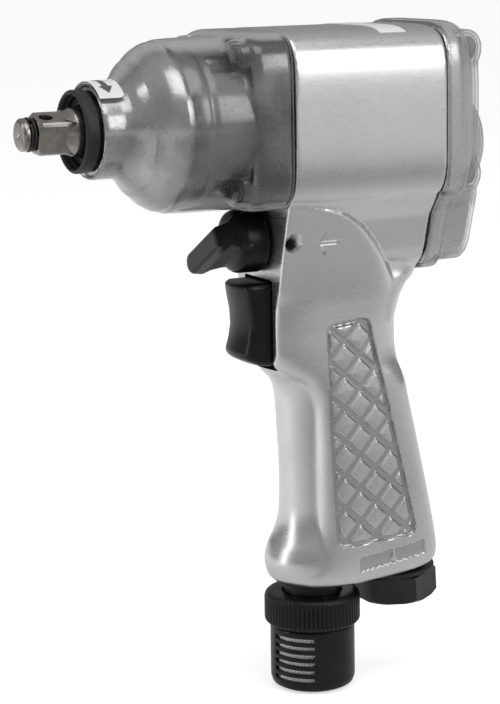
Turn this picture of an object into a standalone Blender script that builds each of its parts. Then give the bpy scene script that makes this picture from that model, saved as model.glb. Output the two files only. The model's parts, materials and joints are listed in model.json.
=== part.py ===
"""Pistol-grip air impact wrench, 3/8 inch square drive, as an assembly of separate parts.

The origin is the centre of the drive's end face. +X runs along the drive, out of the nose,
+Y is the tool's left side and +Z is up. Lengths are in millimetres until the mesh helpers
turn them into metres.
"""
import math

import bmesh
import bpy
from mathutils import Matrix, Vector

MM = 0.001
GAP = 0.3

# Drive end
DRIVE_SQUARE = 9.53
ANVIL_ROLL = math.radians(18.0)
SHAFT_RADIUS = 7.0
ANVIL_CORE = 6.6
LOBE_RADIUS = 9.0
NOSE_X = -19.6

# Casings
JOINT_FRONT_X = -72.0
JOINT_REAR_X = -121.6
DOME_Z = -9.0
HOUSING_HALF = (24.0, 25.0)
HOUSING_CENTRE_Z = 1.0
CORNER_POWER = 6.0
MOTOR_BORE = 20.6
SKIN = 1.0
BOLT_Y = 16.5
BOLT_Z = 18.0
SHANK_RADIUS = 1.9
HEAD_RADIUS = 3.4
PAD_RADIUS = 5.3

# Hammer mechanism
FRONT_HAMMER = (-43.4, -52.3)
REAR_HAMMER = (-52.8, -61.7)
PIN_OFFSET = 14.25
PIN_RADIUS = 2.0
HAMMER_SWING = 4.2
CASE_BORE = 20.9

# Motor
ROTOR_RADIUS = 14.7
CYLINDER_BORE = 16.6
CYLINDER_OFFSET = 1.5
ROTOR_X = (-80.8, -107.2)
VANES = 5
FRONT_BEARING_X = -73.5
REAR_BEARING_X = -109.6
BEARING_WIDTH = 4.9
BALLS = 6

# Controls
REVERSE_Z = -34.0
SPOOL_RADIUS = 6.6
DETENT_X = -75.2
ROD_Z = -58.0
TRIGGER_HALF = 7.9
TRIGGER_REAR = -75.4
TRIGGER_TRAVEL = 6.0

# Throttle line: from this foot the air passage climbs forward at this slant
LINE_FOOT = Vector((-116.6, 0.0, -124.0))
LINE_SLANT = math.radians(14.5)
LINE = Vector((math.sin(LINE_SLANT), 0.0, math.cos(LINE_SLANT)))

# Handle foot
EXHAUST_X = -88.9
INLET_FOOT = Vector((-117.5, 0.0, -137.0))
INLET_TILT = math.radians(3.0)
INLET = Vector((-math.sin(INLET_TILT), 0.0, -math.cos(INLET_TILT)))
HEX_ACROSS = 22.0

# Handle sections, top to bottom: height, front, rear, half width, squareness, foot slant
HANDLE_SECTIONS = [
    (-40.0, -73.0, -120.8, 13.0, 3.4, 0.0),
    (-52.0, -73.0, -118.8, 13.0, 3.4, 0.0),
    (-64.0, -73.2, -117.6, 13.3, 3.4, 0.0),
    (-71.0, -74.2, -118.3, 13.5, 3.2, 0.0),
    (-77.0, -77.2, -119.5, 13.7, 2.9, 0.0),
    (-92.0, -78.9, -123.2, 14.3, 2.8, 0.0),
    (-106.0, -79.5, -126.6, 14.8, 2.8, 0.0),
    (-118.5, -79.0, -129.7, 15.3, 2.8, 0.01),
    (-126.0, -76.0, -131.4, 15.6, 2.8, 0.02),
    (-131.5, -75.0, -132.5, 15.7, 2.8, 0.03),
    (-135.6, -76.2, -132.6, 15.2, 2.8, 0.045),
    (-138.0, -79.6, -130.2, 13.4, 2.8, 0.05),
]

# Half outline of the lobe that hangs below the barrel, from its root down to its keel
LOBE_OUTLINE = [
    (20.0, -15.0), (19.6, -22.6), (15.6, -28.0), (14.2, -34.0), (12.4, -39.5), (9.0, -43.6), (4.0, -45.0),
]


# ---------------------------------------------------------------- helpers

def clear_scene():
    for item in list(bpy.data.objects):
        bpy.data.objects.remove(item)


def new_collection(name):
    collection = bpy.data.collections.new(name)
    bpy.context.scene.collection.children.link(collection)
    return collection


def finish(name, colour, roughness, metallic, alpha=1.0):
    material = bpy.data.materials.new(name)
    material.use_nodes = True
    shader = material.node_tree.nodes["Principled BSDF"]
    shader.inputs["Base Color"].default_value = (*colour, 1.0)
    shader.inputs["Roughness"].default_value = roughness
    shader.inputs["Metallic"].default_value = metallic
    shader.inputs["Alpha"].default_value = alpha
    material.diffuse_color = (*colour, alpha)
    return material


def place(name, mesh, look):
    """Put a mesh in the wrench's collection, or among the cutters when it has no look."""
    item = bpy.data.objects.new(name, mesh)
    if look is None:
        CUTTERS.objects.link(item)
        item.hide_render = True
        item.display_type = "WIRE"
        return item
    WRENCH.objects.link(item)
    material = look.copy()
    material.name = name
    mesh.materials.append(material)
    return item


def from_bmesh(name, shape, look):
    bmesh.ops.scale(shape, vec=(MM, MM, MM), verts=shape.verts)
    mesh = bpy.data.meshes.new(name)
    shape.to_mesh(mesh)
    shape.free()
    return place(name, mesh, look)


def toward(direction):
    return Vector(direction).to_track_quat("Z", "Y").to_matrix().to_4x4()


def rod(name, start, end, radius, look=None, end_radius=None, segments=16, turn=0.0):
    """Solid cylinder or cone between two points; turn rolls its facets."""
    start = Vector(start)
    end = Vector(end)
    span = end - start
    spin = Matrix.Rotation(turn, 4, "Z")
    matrix = Matrix.Translation((start + end) / 2) @ toward(span) @ spin
    shape = bmesh.new()
    bmesh.ops.create_cone(shape, cap_ends=True, segments=segments, radius1=radius,
                          radius2=radius if end_radius is None else end_radius,
                          depth=span.length, matrix=matrix)
    return from_bmesh(name, shape, look)


def box(name, low, high, look=None, turn=0.0, bevel=0.0):
    """Box between two corners, rolled about the X axis by turn."""
    low = Vector(low)
    high = Vector(high)
    shape = bmesh.new()
    bmesh.ops.create_cube(shape, size=1.0)
    bmesh.ops.scale(shape, vec=high - low, verts=shape.verts)
    bmesh.ops.translate(shape, vec=(low + high) / 2, verts=shape.verts)
    if bevel:
        bmesh.ops.bevel(shape, geom=list(shape.edges), offset=bevel, segments=1, affect="EDGES")
    bmesh.ops.rotate(shape, cent=(0, 0, 0), matrix=Matrix.Rotation(turn, 3, "X"), verts=shape.verts)
    return from_bmesh(name, shape, look)


def prism(name, outline, start, end, look=None, along="X"):
    """Flat outline of (Y, Z) points carried along X, or of (X, Z) points carried along Y."""
    shape = bmesh.new()
    if along == "X":
        points = [(start, u, v) for u, v in outline]
        push = Vector((end - start, 0, 0))
    else:
        points = [(u, start, v) for u, v in outline]
        push = Vector((0, end - start, 0))
    face = shape.faces.new([shape.verts.new(point) for point in points])
    moved = bmesh.ops.extrude_face_region(shape, geom=[face])
    corners = [g for g in moved["geom"] if isinstance(g, bmesh.types.BMVert)]
    bmesh.ops.translate(shape, vec=push, verts=corners)
    bmesh.ops.recalc_face_normals(shape, faces=shape.faces)
    return from_bmesh(name, shape, look)


def loft(name, rings, look=None):
    """Skin through rings of points with a flat cap at each end."""
    shape = bmesh.new()
    rows = [[shape.verts.new(point) for point in ring] for ring in rings]
    count = len(rings[0])
    for row, following in zip(rows, rows[1:]):
        for i in range(count):
            j = (i + 1) % count
            shape.faces.new((row[i], row[j], following[j], following[i]))
    shape.faces.new(rows[0])
    shape.faces.new(rows[-1])
    bmesh.ops.recalc_face_normals(shape, faces=shape.faces)
    return from_bmesh(name, shape, look)


def turned(name, profile, look=None, axis="X", at=(0.0, 0.0, 0.0), segments=24, closed=False):
    """Turn a profile of (place along the axis, radius), which runs from high to low outside."""
    mesh = bpy.data.meshes.new(name)
    points = [(radius * MM, 0.0, along * MM) for along, radius in profile]
    edges = [(i, i + 1) for i in range(len(points) - 1)]
    if closed:
        edges.append((len(points) - 1, 0))
    mesh.from_pydata(points, edges, [])
    item = place(name, mesh, look)
    screw = item.modifiers.new("turn", "SCREW")
    screw.steps = segments
    screw.render_steps = segments
    screw.use_merge_vertices = True
    screw.merge_threshold = 0.00001
    item.location = Vector(at) * MM
    if axis == "X":
        item.rotation_euler = (0.0, math.pi / 2, 0.0)
    elif axis != "Z":
        item.rotation_euler = toward(axis).to_euler()
    return item


def ring(name, start, end, outer, inner, look=None, axis="X", at=(0.0, 0.0, 0.0), segments=24):
    """Plain collar between two places on its axis, start above end."""
    profile = [(start, outer), (end, outer), (end, inner), (start, inner)]
    return turned(name, profile, look, axis, at, segments, closed=True)


def combine(item, operation, others):
    for other in others:
        step = item.modifiers.new(operation.lower(), "BOOLEAN")
        step.operation = operation
        step.solver = "EXACT"
        step.object = other
    return item


def cut(item, *cutters):
    return combine(item, "DIFFERENCE", cutters)


def join(item, *others):
    return combine(item, "UNION", others)


def settle(item):
    """Replace an object's mesh by its evaluated shape, shaded smooth between sharp edges."""
    bpy.context.view_layer.update()
    evaluated = item.evaluated_get(bpy.context.evaluated_depsgraph_get())
    mesh = bpy.data.meshes.new_from_object(evaluated)
    mesh.transform(item.matrix_world)
    item.modifiers.clear()
    item.data = mesh
    item.matrix_world = Matrix.Identity(4)
    mesh.shade_smooth()
    mesh.set_sharp_from_angle(angle=math.radians(38.0))


def hang(name, point, *pieces):
    """Parent moving pieces to an empty that stands on their joint's axis."""
    pivot = bpy.data.objects.new(name, None)
    pivot.location = Vector(point) * MM
    WRENCH.objects.link(pivot)
    for piece in pieces:
        piece.data.transform(Matrix.Translation(-pivot.location))
        piece.parent = pivot


def around(radius, angle):
    return radius * math.cos(angle), radius * math.sin(angle)


def squircle(x, half_y, half_z, power, centre_z=HOUSING_CENTRE_Z, count=24):
    """Ring in a YZ plane: a circle at power 2, and squarer as the power grows."""
    points = []
    for i in range(count):
        y, z = around(1.0, math.tau * (i + 0.5) / count)
        size = (abs(y) ** power + abs(z) ** power) ** (-1.0 / power)
        points.append((x, half_y * size * y, centre_z + half_z * size * z))
    return points


def lobe(name, start, end, grow=0.0, look=None):
    """The lobe under the barrel, grown outwards, as a prism along X."""
    right = [(y + grow, z - grow * (0.5 if y > 12.0 else 1.0)) for y, z in LOBE_OUTLINE]
    right[0] = (right[0][0], LOBE_OUTLINE[0][1] + grow)
    left = [(-y, z) for y, z in reversed(right)]
    return prism(name, right + left, start, end, look)


# ---------------------------------------------------------------- casings

def bolt_places():
    for number, (side, height) in enumerate([(1, 1), (-1, 1), (-1, -1), (1, -1)], start=1):
        yield number, side * BOLT_Y, HOUSING_CENTRE_Z + height * BOLT_Z


def shank_holes(start, end):
    holes = []
    for number, y, z in bolt_places():
        hole = rod("shank_hole", (start, y, z), (end, y, z), SHANK_RADIUS + 0.4, segments=8)
        holes.append(hole)
    return holes


def case_rings(shrink):
    """Outside of the hammer case and of its clear cover, from the nose back to the joint.

    Each section holds its place, half width, squareness and lift, and how far its slope
    carries the inner surface back.
    """
    sections = [
        (NOSE_X, 13.5, 2.0, 0.0, 0.0), (-27.0, 13.5, 2.0, 0.0, 0.3), (-29.6, 15.4, 2.0, 0.0, 0.5),
        (-33.2, 19.5, 2.0, 0.0, 0.5), (-37.0, 22.7, 2.0, 0.0, 0.4), (-41.0, 24.3, 2.0, 0.0, 0.2),
        (-51.5, 24.5, 2.0, 0.1, 0.9), (-54.5, 24.6, 3.4, 0.4, 0.9), (-57.0, 24.8, 5.6, 0.6, 0.9),
        (-71.6, 24.9, CORNER_POWER, 0.6, 0.0),
    ]
    rings = []
    for x, half, power, lift, lean in sections:
        rings.append(squircle(x - lean * shrink, half - shrink, half + 0.2 * lift - shrink, power, lift))
    return rings


def build_hammer_case():
    shell = SKIN + 2 * GAP
    case = loft("hammer_case", case_rings(shell), ALUMINIUM)
    cavity = [
        (-17.6, 0), (-17.6, 10.0), (-38.0, 10.0), (-38.0, 13.0), (-41.8, CASE_BORE), (-72.0, CASE_BORE), (-72.0, 0),
    ]
    cutters = [turned("case_cavity", cavity)]
    for _, y, z in bolt_places():
        seat = rod("head_seat", (-48.0, y, z), (-61.6, y, z), HEAD_RADIUS + 0.6, segments=12)
        cutters.append(seat)
    cut(case, *cutters, *shank_holes(-60.0, -73.0))
    cover = loft("front_protector", case_rings(0.0), CLEAR_VINYL)
    inside = case_rings(SKIN)
    first = [(x + 1.0, y, z) for x, y, z in inside[0]]
    last = [(x - 1.0, y, z) for x, y, z in inside[-1]]
    cut(cover, loft("cover_cavity", [first] + inside[1:-1] + [last]))


def build_nose():
    bumper = [(-15.4, 10.9), (-15.9, 11.5), (-19.2, 11.5), (-19.2, 10.2), (-15.4, 10.2)]
    turned("nose_bumper", bumper, RUBBER, closed=True)
    ring("anvil_bushing", -19.6, -37.6, 9.6, SHAFT_RADIUS + GAP, BRONZE)
    ring("cage_washer", -38.4, -39.5, 12.4, SHAFT_RADIUS + GAP, STEEL)


def build_gasket(name, x, with_lobe):
    back = x - GAP
    plate = loft(name, [squircle(place, 23.6, 24.6, CORNER_POWER) for place in (x, back)], FIBRE)
    if with_lobe:
        join(plate, lobe("gasket_lobe", x, back, -0.3))
        cut(plate, rod("gasket_port", (x + 1, 0, -33.0), (x - 2, 0, -33.0), 5.0))
    bore = rod("gasket_bore", (x + 1, 0, 0), (x - 2, 0, 0), MOTOR_BORE + 0.1, segments=24)
    cut(plate, bore, *shank_holes(x + 1, x - 2))


def build_screws():
    for number, y, z in bolt_places():
        for name, head, tip in (("case_bolt", -61.3, -84.0), ("rear_bolt", -130.2, -110.0)):
            way = 1.0 if tip < head else -1.0
            top = (head + 4.0 * way, y, z)
            bolt = rod(f"{name}_{number}", top, (head, y, z), HEAD_RADIUS, BLACK_STEEL, segments=12)
            shank = rod("shank", (head + 0.5 * way, y, z), (tip, y, z), SHANK_RADIUS, segments=8)
            socket = rod("hex_socket", (head + 5.0 * way, y, z), (head + 1.6 * way, y, z), 1.8, segments=6)
            join(bolt, shank)
            cut(bolt, socket)


def handle_ring(height, front, rear, half, power, slant, count=24):
    middle = (front + rear) / 2
    reach = (front - rear) / 2
    points = []
    for i in range(count):
        x, y = around(1.0, math.tau * (i + 0.5) / count)
        size = (abs(x) ** power + abs(y) ** power) ** (-1.0 / power)
        along = middle + reach * size * x
        points.append((along, half * size * y, height + slant * (front - along)))
    return points


def build_housing():
    front = JOINT_FRONT_X - 0.4
    rear = JOINT_REAR_X + 0.3
    barrel = [squircle(front, *HOUSING_HALF, CORNER_POWER), squircle(rear, *HOUSING_HALF, CORNER_POWER)]
    housing = loft("motor_housing", barrel, ALUMINIUM)
    grip = loft("grip", [handle_ring(*section) for section in HANDLE_SECTIONS])
    join(housing, lobe("housing_lobe", front, rear), grip)
    cutters = [rod("motor_bore", (front + 1, 0, 0), (rear - 1, 0, 0), MOTOR_BORE, segments=24)]
    cutters += shank_holes(front + 1, -85.5)
    cutters += shank_holes(rear - 1, -108.5)
    cutters += control_passages(front)
    cutters += air_passages(rear)
    cut(housing, *cutters)


def control_passages(front):
    """Bore of the reverse spool with its two ports, detent hole, trigger pocket and rod hole."""
    passages = [
        rod("spool_bore", (front + 1, 0, REVERSE_Z), (-104.5, 0, REVERSE_Z), SPOOL_RADIUS + 0.4),
        rod("detent_hole", (DETENT_X, 4.0, REVERSE_Z), (DETENT_X, 17.0, REVERSE_Z), 2.0, segments=12),
        box("trigger_pocket", (TRIGGER_REAR - TRIGGER_TRAVEL - 1.2, -8.5, -71.4), (-70.0, 8.5, -45.2)),
        rod("rod_hole", (-80.0, 0, ROD_Z), (-96.0, 0, ROD_Z), 3.3),
    ]
    for side in (1, -1):
        port = rod("motor_port", (-95.0, 4.2 * side, -31.0), (-95.0, 4.2 * side, -19.0), 1.6, segments=8)
        passages.append(port)
    return passages


def air_passages(rear):
    """Slanted inlet line with the valve chamber, and exhaust ducts on both sides of the rod."""
    passages = [
        rod("bushing_hole", INLET_FOOT + 4 * INLET, INLET_FOOT - 15 * INLET, 9.2, segments=20),
        rod("inlet_line", LINE_FOOT - 6 * LINE, LINE_FOOT + 40 * LINE, 4.9),
        rod("valve_chamber", LINE_FOOT + 36 * LINE, LINE_FOOT + 58 * LINE, 6.7),
        box("stem_space", (-109.0, -3.6, -69.5), (-94.4, 3.6, -54.0)),
        rod("supply_duct", (-102.4, 0, -57.0), (-102.4, 0, -33.0), 3.2, segments=12),
        rod("rear_duct", (-104.0, 0, -37.5), (rear - 1, 0, -37.5), 3.6, segments=12),
        rod("exhaust_bore", (EXHAUST_X, 0, -142.0), (EXHAUST_X, 0, -86.0), 7.5, segments=20),
    ]
    for side in (1, -1):
        duct = rod("exhaust_duct", (-88.6, 6.4 * side, -90.0), (-88.6, 6.4 * side, -37.0), 2.9, segments=12)
        passages.append(duct)
    return passages


def rear_form(name, grow, look=None):
    """Outside of the rear cover grown evenly: flange, stepped body, bearing dome and lower lobe."""
    start = JOINT_REAR_X - 0.6 + (2.0 if grow == GAP else 0.0)
    half_y, half_z = HOUSING_HALF
    sections = [
        (start, 0.0, 6.0), (-127.6 - grow, 0.0, 6.0), (-129.0 - grow, 2.0, 5.4), (-132.4 - grow, 3.0, 5.0),
        (-133.4 - grow, 4.2, 4.6),
    ]
    rings = [squircle(x, half_y - step + grow, half_z - step + grow, power) for x, step, power in sections]
    dome = [
        (-130.0, 0), (-130.0, 14.0 + grow), (-136.0, 13.0 + grow), (-140.4, 9.0 + grow),
        (-141.5 - grow, 5.0 + grow), (-141.5 - grow, 0),
    ]
    form = loft(name, rings, look)
    keel = lobe("rear_lobe", start, -127.6 - grow, grow)
    keel_step = lobe("rear_lobe_step", -125.0, -137.6 - grow, grow - 1.6)
    join(form, turned("dome", dome, at=(0.0, 0.0, DOME_Z)), keel, keel_step)
    return form


def build_rear():
    cover = rear_form("rear_cover", 0.0, ALUMINIUM)
    hollow = [(-120.0, 0), (-120.0, 19.6), (-129.4, 19.0), (-129.4, 0)]
    cutters = [turned("cover_hollow", hollow)]
    cutters.append(rod("dome_chamber", (-128.0, 0, DOME_Z), (-138.5, 0, DOME_Z), 9.0))
    cutters.append(rod("lobe_duct", (-120.0, 0, -37.5), (-131.5, 0, -37.5), 4.2, segments=12))
    cutters.append(rod("regulator_bore", (-131.0, 0, -36.0), (-140.0, 0, -36.0), 5.4))
    for _, y, z in bolt_places():
        seat = rod("rear_head_seat", (-129.9, y, z), (-142.0, y, z), HEAD_RADIUS + 0.6, segments=12)
        cutters.append(seat)
    cut(cover, *cutters, *shank_holes(-120.0, -136.0))
    boot = rear_form("rear_protector", SKIN + GAP, CLEAR_VINYL)
    pads = []
    voids = []
    for _, y, z in bolt_places():
        pads.append(rod("head_pad", (-128.0, y, z), (-136.0, y, z), PAD_RADIUS, None, PAD_RADIUS - 0.4, 12))
        voids.append(rod("head_void", (-127.0, y, z), (-135.0, y, z), PAD_RADIUS - 1.2, None, PAD_RADIUS - 1.5, 12))
    join(boot, *pads)
    cut(boot, rear_form("boot_cavity", GAP), *voids)


def build_regulator():
    screw = rod("power_regulator", (-131.4, 0, -36.0), (-137.5, 0, -36.0), 5.0, BLACK_STEEL, segments=20)
    cut(screw, box("regulator_slot", (-139.0, -6.0, -36.6), (-136.4, 6.0, -35.4)))
    return screw


# ---------------------------------------------------------------- drive and hammers

def sector(name, start, end, inner, outer, middle, spread, look=None):
    """Block between two radii and two angles, carried along X."""
    steps = 4
    angles = [middle + spread * (i / steps - 0.5) for i in range(steps + 1)]
    outline = [around(inner, angle) for angle in angles]
    outline += [around(outer, angle) for angle in reversed(angles)]
    return prism(name, outline, start, end, look)


def build_anvil():
    half = DRIVE_SQUARE / 2
    shaft = [
        (0.0, 0), (0.0, 3.9), (-0.7, 4.6), (-2.0, 4.6), (-2.0, 3.6), (-4.3, 3.6), (-4.3, 4.7), (-12.4, 4.7),
        (-14.6, SHAFT_RADIUS), (-39.9, SHAFT_RADIUS), (-39.9, ANVIL_CORE), (-61.7, ANVIL_CORE), (-61.7, 0),
    ]
    anvil = turned("anvil", shaft, STEEL)
    square = box("drive_square", (-13.2, -half, -half), (-4.3, half, half), turn=-ANVIL_ROLL, bevel=0.7)
    front = sector("front_lobe", -43.6, -52.1, 5.0, LOBE_RADIUS, math.radians(-34.0), math.radians(36.0))
    rear = sector("rear_lobe", -53.0, -61.5, 5.0, LOBE_RADIUS, math.radians(146.0), math.radians(36.0))
    join(anvil, square, front, rear)
    up = Vector((0.0, math.sin(ANVIL_ROLL), math.cos(ANVIL_ROLL)))
    middle = Vector((-7.6, 0.0, 0.0))
    cut(anvil, rod("cross_hole", middle - 8 * up, middle + 8 * up, 1.9, segments=12))
    split = [(-2.3, 4.5), (-2.9, 4.8), (-2.9, 3.9), (-2.3, 3.9)]
    clip = turned("retainer_ring", split, STEEL, segments=16, closed=True)
    cut(clip, box("clip_gap", (-3.5, 2.0, -0.7), (-2.0, 6.0, 0.7), turn=math.radians(50.0)))
    bead = []
    for i in range(6):
        along, out = around(0.34, -math.tau * i / 6)
        bead.append((-3.6 + along, 4.28 + out))
    o_ring = turned("retainer_o_ring", list(reversed(bead)), RUBBER, segments=18, closed=True)
    return [anvil, clip, o_ring]


def build_hammer(name, span, side):
    """Ring hammer that rocks on its pin, open at the far side so that it swings clear of the other pin.

    Its inner dog strikes the anvil's lobe.
    """
    start, end = span
    hammer = ring(name, start, end, 17.0, 11.5, STEEL, segments=28)
    turn = 0.0 if side > 0 else math.pi
    dog = sector("dog", start, end, 7.05, 13.0, turn, math.radians(26.0))
    join(hammer, dog)
    z = PIN_OFFSET * side
    cut(hammer, rod("pin_hole", (start + 1, 0, z), (end - 1, 0, z), PIN_RADIUS + GAP, segments=12))
    for y in (0.0, -HAMMER_SWING * side):
        cut(hammer, rod("relief", (start + 1, y, -z), (end - 1, y, -z), PIN_RADIUS + 2.4, segments=12))
    return hammer


def build_cage():
    bore = SHAFT_RADIUS + GAP
    front = [(-39.9, 15.6), (-42.2, 20.2), (-43.0, 20.2), (-43.0, bore), (-39.9, bore)]
    cage = turned("hammer_cage", front, STEEL, closed=True)
    rear = rod("cage_rear", (-62.1, 0, 0), (-66.4, 0, 0), 20.2, segments=24)
    pins = []
    bars = []
    holes = []
    for number, side in ((1, 1), (2, -1)):
        middle = math.radians(90.0 * side)
        bars.append(sector("cage_bar", -42.0, -63.0, 17.7, 20.3, middle, math.radians(34.0)))
        z = PIN_OFFSET * side
        pin = rod(f"hammer_pin_{number}", (-40.3, 0, z), (-66.0, 0, z), PIN_RADIUS, STEEL, segments=12)
        pins.append(pin)
        holes.append(rod("cage_pin_hole", (-39.0, 0, z), (-67.0, 0, z), PIN_RADIUS + GAP, segments=12))
    join(cage, rear, *bars)
    cut(cage, *holes, rod("cage_drive", (-61.0, 0, 0), (-68.0, 0, 0), 5.6, segments=6))
    return [cage, *pins]


# ---------------------------------------------------------------- air motor

def build_end_plate(name, face, way):
    """Motor end plate with a bearing pocket open away from the cylinder; way is +1 at the front."""
    inner = face - 7.0 * way
    start, end = max(face, inner), min(face, inner)
    plate = rod(name, (start, 0, 0), (end, 0, 0), 20.2, GREY_IRON, segments=24)
    pocket = rod("bearing_pocket", (face + way, 0, 0), (face - 5.5 * way, 0, 0), 9.8, segments=20)
    bore = rod("plate_bore", (face + way, 0, 0), (inner - way, 0, 0), 5.4)
    dowel = rod("dowel_hole", (face + way, 0, -17.7), (inner - way, 0, -17.7), 1.4, segments=8)
    cut(plate, pocket, bore, dowel)


def build_motor():
    build_end_plate("front_end_plate", -73.2, 1)
    build_end_plate("rear_end_plate", -114.8, -1)
    start, end = ROTOR_X[0] + GAP, ROTOR_X[1] - GAP
    cylinder = rod("motor_cylinder", (start, 0, 0), (end, 0, 0), 20.2, GREY_IRON, segments=24)
    bore_z = CYLINDER_OFFSET
    chamber = rod("chamber", (start + 1, 0, bore_z), (end - 1, 0, bore_z), CYLINDER_BORE, segments=32)
    dowel = rod("cylinder_dowel", (start + 1, 0, -17.7), (end - 1, 0, -17.7), 1.4, segments=8)
    slots = []
    for side in (1, -1):
        y = 8.0 * side
        slots.append(box("cylinder_port", (-99.0, y - 1.5, -21.0), (-89.0, y + 1.5, -10.0)))
    cut(cylinder, chamber, dowel, *slots)
    rod("dowel_pin", (-73.6, 0, -17.7), (-114.4, 0, -17.7), 1.1, STEEL, segments=8)


def build_rotor():
    start, end = ROTOR_X
    profile = [
        (-69.0, 0), (-69.0, 4.7), (start, 4.7), (start, ROTOR_RADIUS), (end, ROTOR_RADIUS), (end, 4.7),
        (-116.0, 4.7), (-116.0, 0),
    ]
    rotor = turned("rotor", profile, STEEL, segments=30)
    join(rotor, rod("rotor_hex", (-62.4, 0, 0), (-69.5, 0, 0), 5.1, segments=6))
    pieces = [rotor]
    slots = []
    for i in range(VANES):
        turn = math.tau * i / VANES
        slots.append(box("vane_slot", (end - 1, -0.85, 7.4), (start + 1, 0.85, 16.0), turn=turn))
        low = (end + 0.3, -0.55, 7.8)
        high = (start - 0.3, 0.55, 14.3)
        pieces.append(box(f"vane_{i + 1}", low, high, COMPOSITE, turn=turn))
    cut(rotor, *slots)
    return pieces


def build_bearing(prefix, start):
    """Outer race, inner race, and the balls with their cage as one running piece."""
    end = start - BEARING_WIDTH
    ring(f"{prefix}_bearing_outer", start, end, 9.4, 8.2, STEEL)
    inner = ring(f"{prefix}_bearing_inner", start, end, 6.3, 5.0, STEEL)
    middle = (start + end) / 2
    cage = ring(f"{prefix}_bearing_balls", middle + 0.6, middle - 0.6, 7.6, 6.9, BRONZE, segments=18)
    for i in range(BALLS):
        y, z = around(7.25, math.tau * (i + 0.5) / BALLS)
        shape = bmesh.new()
        spot = Matrix.Translation((middle, y, z))
        bmesh.ops.create_uvsphere(shape, u_segments=6, v_segments=4, radius=0.64, matrix=spot)
        join(cage, from_bmesh("ball", shape, None))
    return inner, cage


# ---------------------------------------------------------------- controls

def build_reverse():
    wing_angle = math.radians(209.5)
    knob = [(-62.6, 0), (-62.6, 8.3), (-63.6, 9.3), (-72.1, 9.3), (-72.1, 0)]
    lever = turned("reverse_lever", knob, BLACK_PLASTIC, at=(0.0, 0.0, REVERSE_Z))
    along = Vector((0.0, math.cos(wing_angle), math.sin(wing_angle)))
    across = Vector((0.0, -along.z, along.y))
    centre = Vector((0.0, 0.0, REVERSE_Z))

    def bar_ring(x, back, reach, half):
        ends = []
        outline = [
            (-back, half), (reach - half, half), (reach, half * 0.5), (reach, -half * 0.5),
            (reach - half, -half), (-back, -half),
        ]
        for distance, side in outline:
            point = centre + distance * along + side * across
            ends.append((x, point.y, point.z))
        return ends

    sections = [(-56.6, 5.0, 18.0, 3.2), (-60.8, 7.0, 18.6, 3.6), (-61.0, 7.5, 14.0, 4.6), (-65.0, 8.0, 8.4, 5.6)]
    bar = loft("wing", [bar_ring(*section) for section in sections])
    join(lever, bar)
    cut(lever, rod("spigot_hole", (-66.6, 0, REVERSE_Z), (-73.0, 0, REVERSE_Z), 3.3))
    spool = [(-67.0, 0), (-67.0, 3.0), (-72.8, 3.0), (-72.8, SPOOL_RADIUS), (-101.0, SPOOL_RADIUS), (-101.0, 0)]
    valve = turned("reverse_valve", spool, BRONZE, at=(0.0, 0.0, REVERSE_Z), segments=20)
    side_port = box("spool_port", (-99.0, -8.0, REVERSE_Z + 2.6), (-91.0, 1.6, REVERSE_Z + 8.0))
    exhaust_port = box("spool_flat", (-93.0, -8.0, REVERSE_Z - 8.0), (-84.0, 8.0, REVERSE_Z - 4.6))
    dimple = rod("detent_dimple", (DETENT_X, 5.4, REVERSE_Z), (DETENT_X, 8.0, REVERSE_Z), 1.0, None, 2.0, 8)
    cut(valve, side_port, exhaust_port, dimple)
    shape = bmesh.new()
    spot = Matrix.Translation((DETENT_X, 7.9, REVERSE_Z))
    bmesh.ops.create_uvsphere(shape, u_segments=10, v_segments=6, radius=1.25, matrix=spot)
    from_bmesh("detent_ball", shape, STEEL)
    inside = (DETENT_X, 9.6, REVERSE_Z)
    outside = (DETENT_X, 12.2, REVERSE_Z)
    plug = rod("detent_screw", inside, outside, 1.65, BLACK_STEEL, segments=12)
    cut(plug, rod("plug_socket", (DETENT_X, 10.6, REVERSE_Z), (DETENT_X, 13.0, REVERSE_Z), 0.9, segments=6))
    return lever, valve


def build_trigger():
    outline = [
        (-63.4, -46.2), (-64.6, -45.6), (TRIGGER_REAR, -45.6), (TRIGGER_REAR, -70.6), (-67.0, -69.6),
        (-63.6, -67.6), (-63.4, -66.4), (-64.8, -62.6), (-65.4, -58.4), (-65.0, -54.0), (-63.8, -49.6),
    ]
    trigger = prism("trigger", outline, -TRIGGER_HALF, TRIGGER_HALF, BLACK_PLASTIC, along="Y")
    cut(trigger, rod("rod_socket", (-69.0, 0, ROD_Z), (-77.0, 0, ROD_Z), 2.2))
    profile = [(-69.3, 0), (-69.3, 1.9), (-95.8, 1.9), (-97.6, 0.8), (-97.6, 0)]
    push_rod = turned("trigger_rod", profile, STEEL, at=(0.0, 0.0, ROD_Z), segments=12)
    ring("trigger_guide", -83.0, -93.6, 3.0, 2.25, BRONZE, at=(0.0, 0.0, ROD_Z), segments=16)
    return trigger, push_rod


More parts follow.
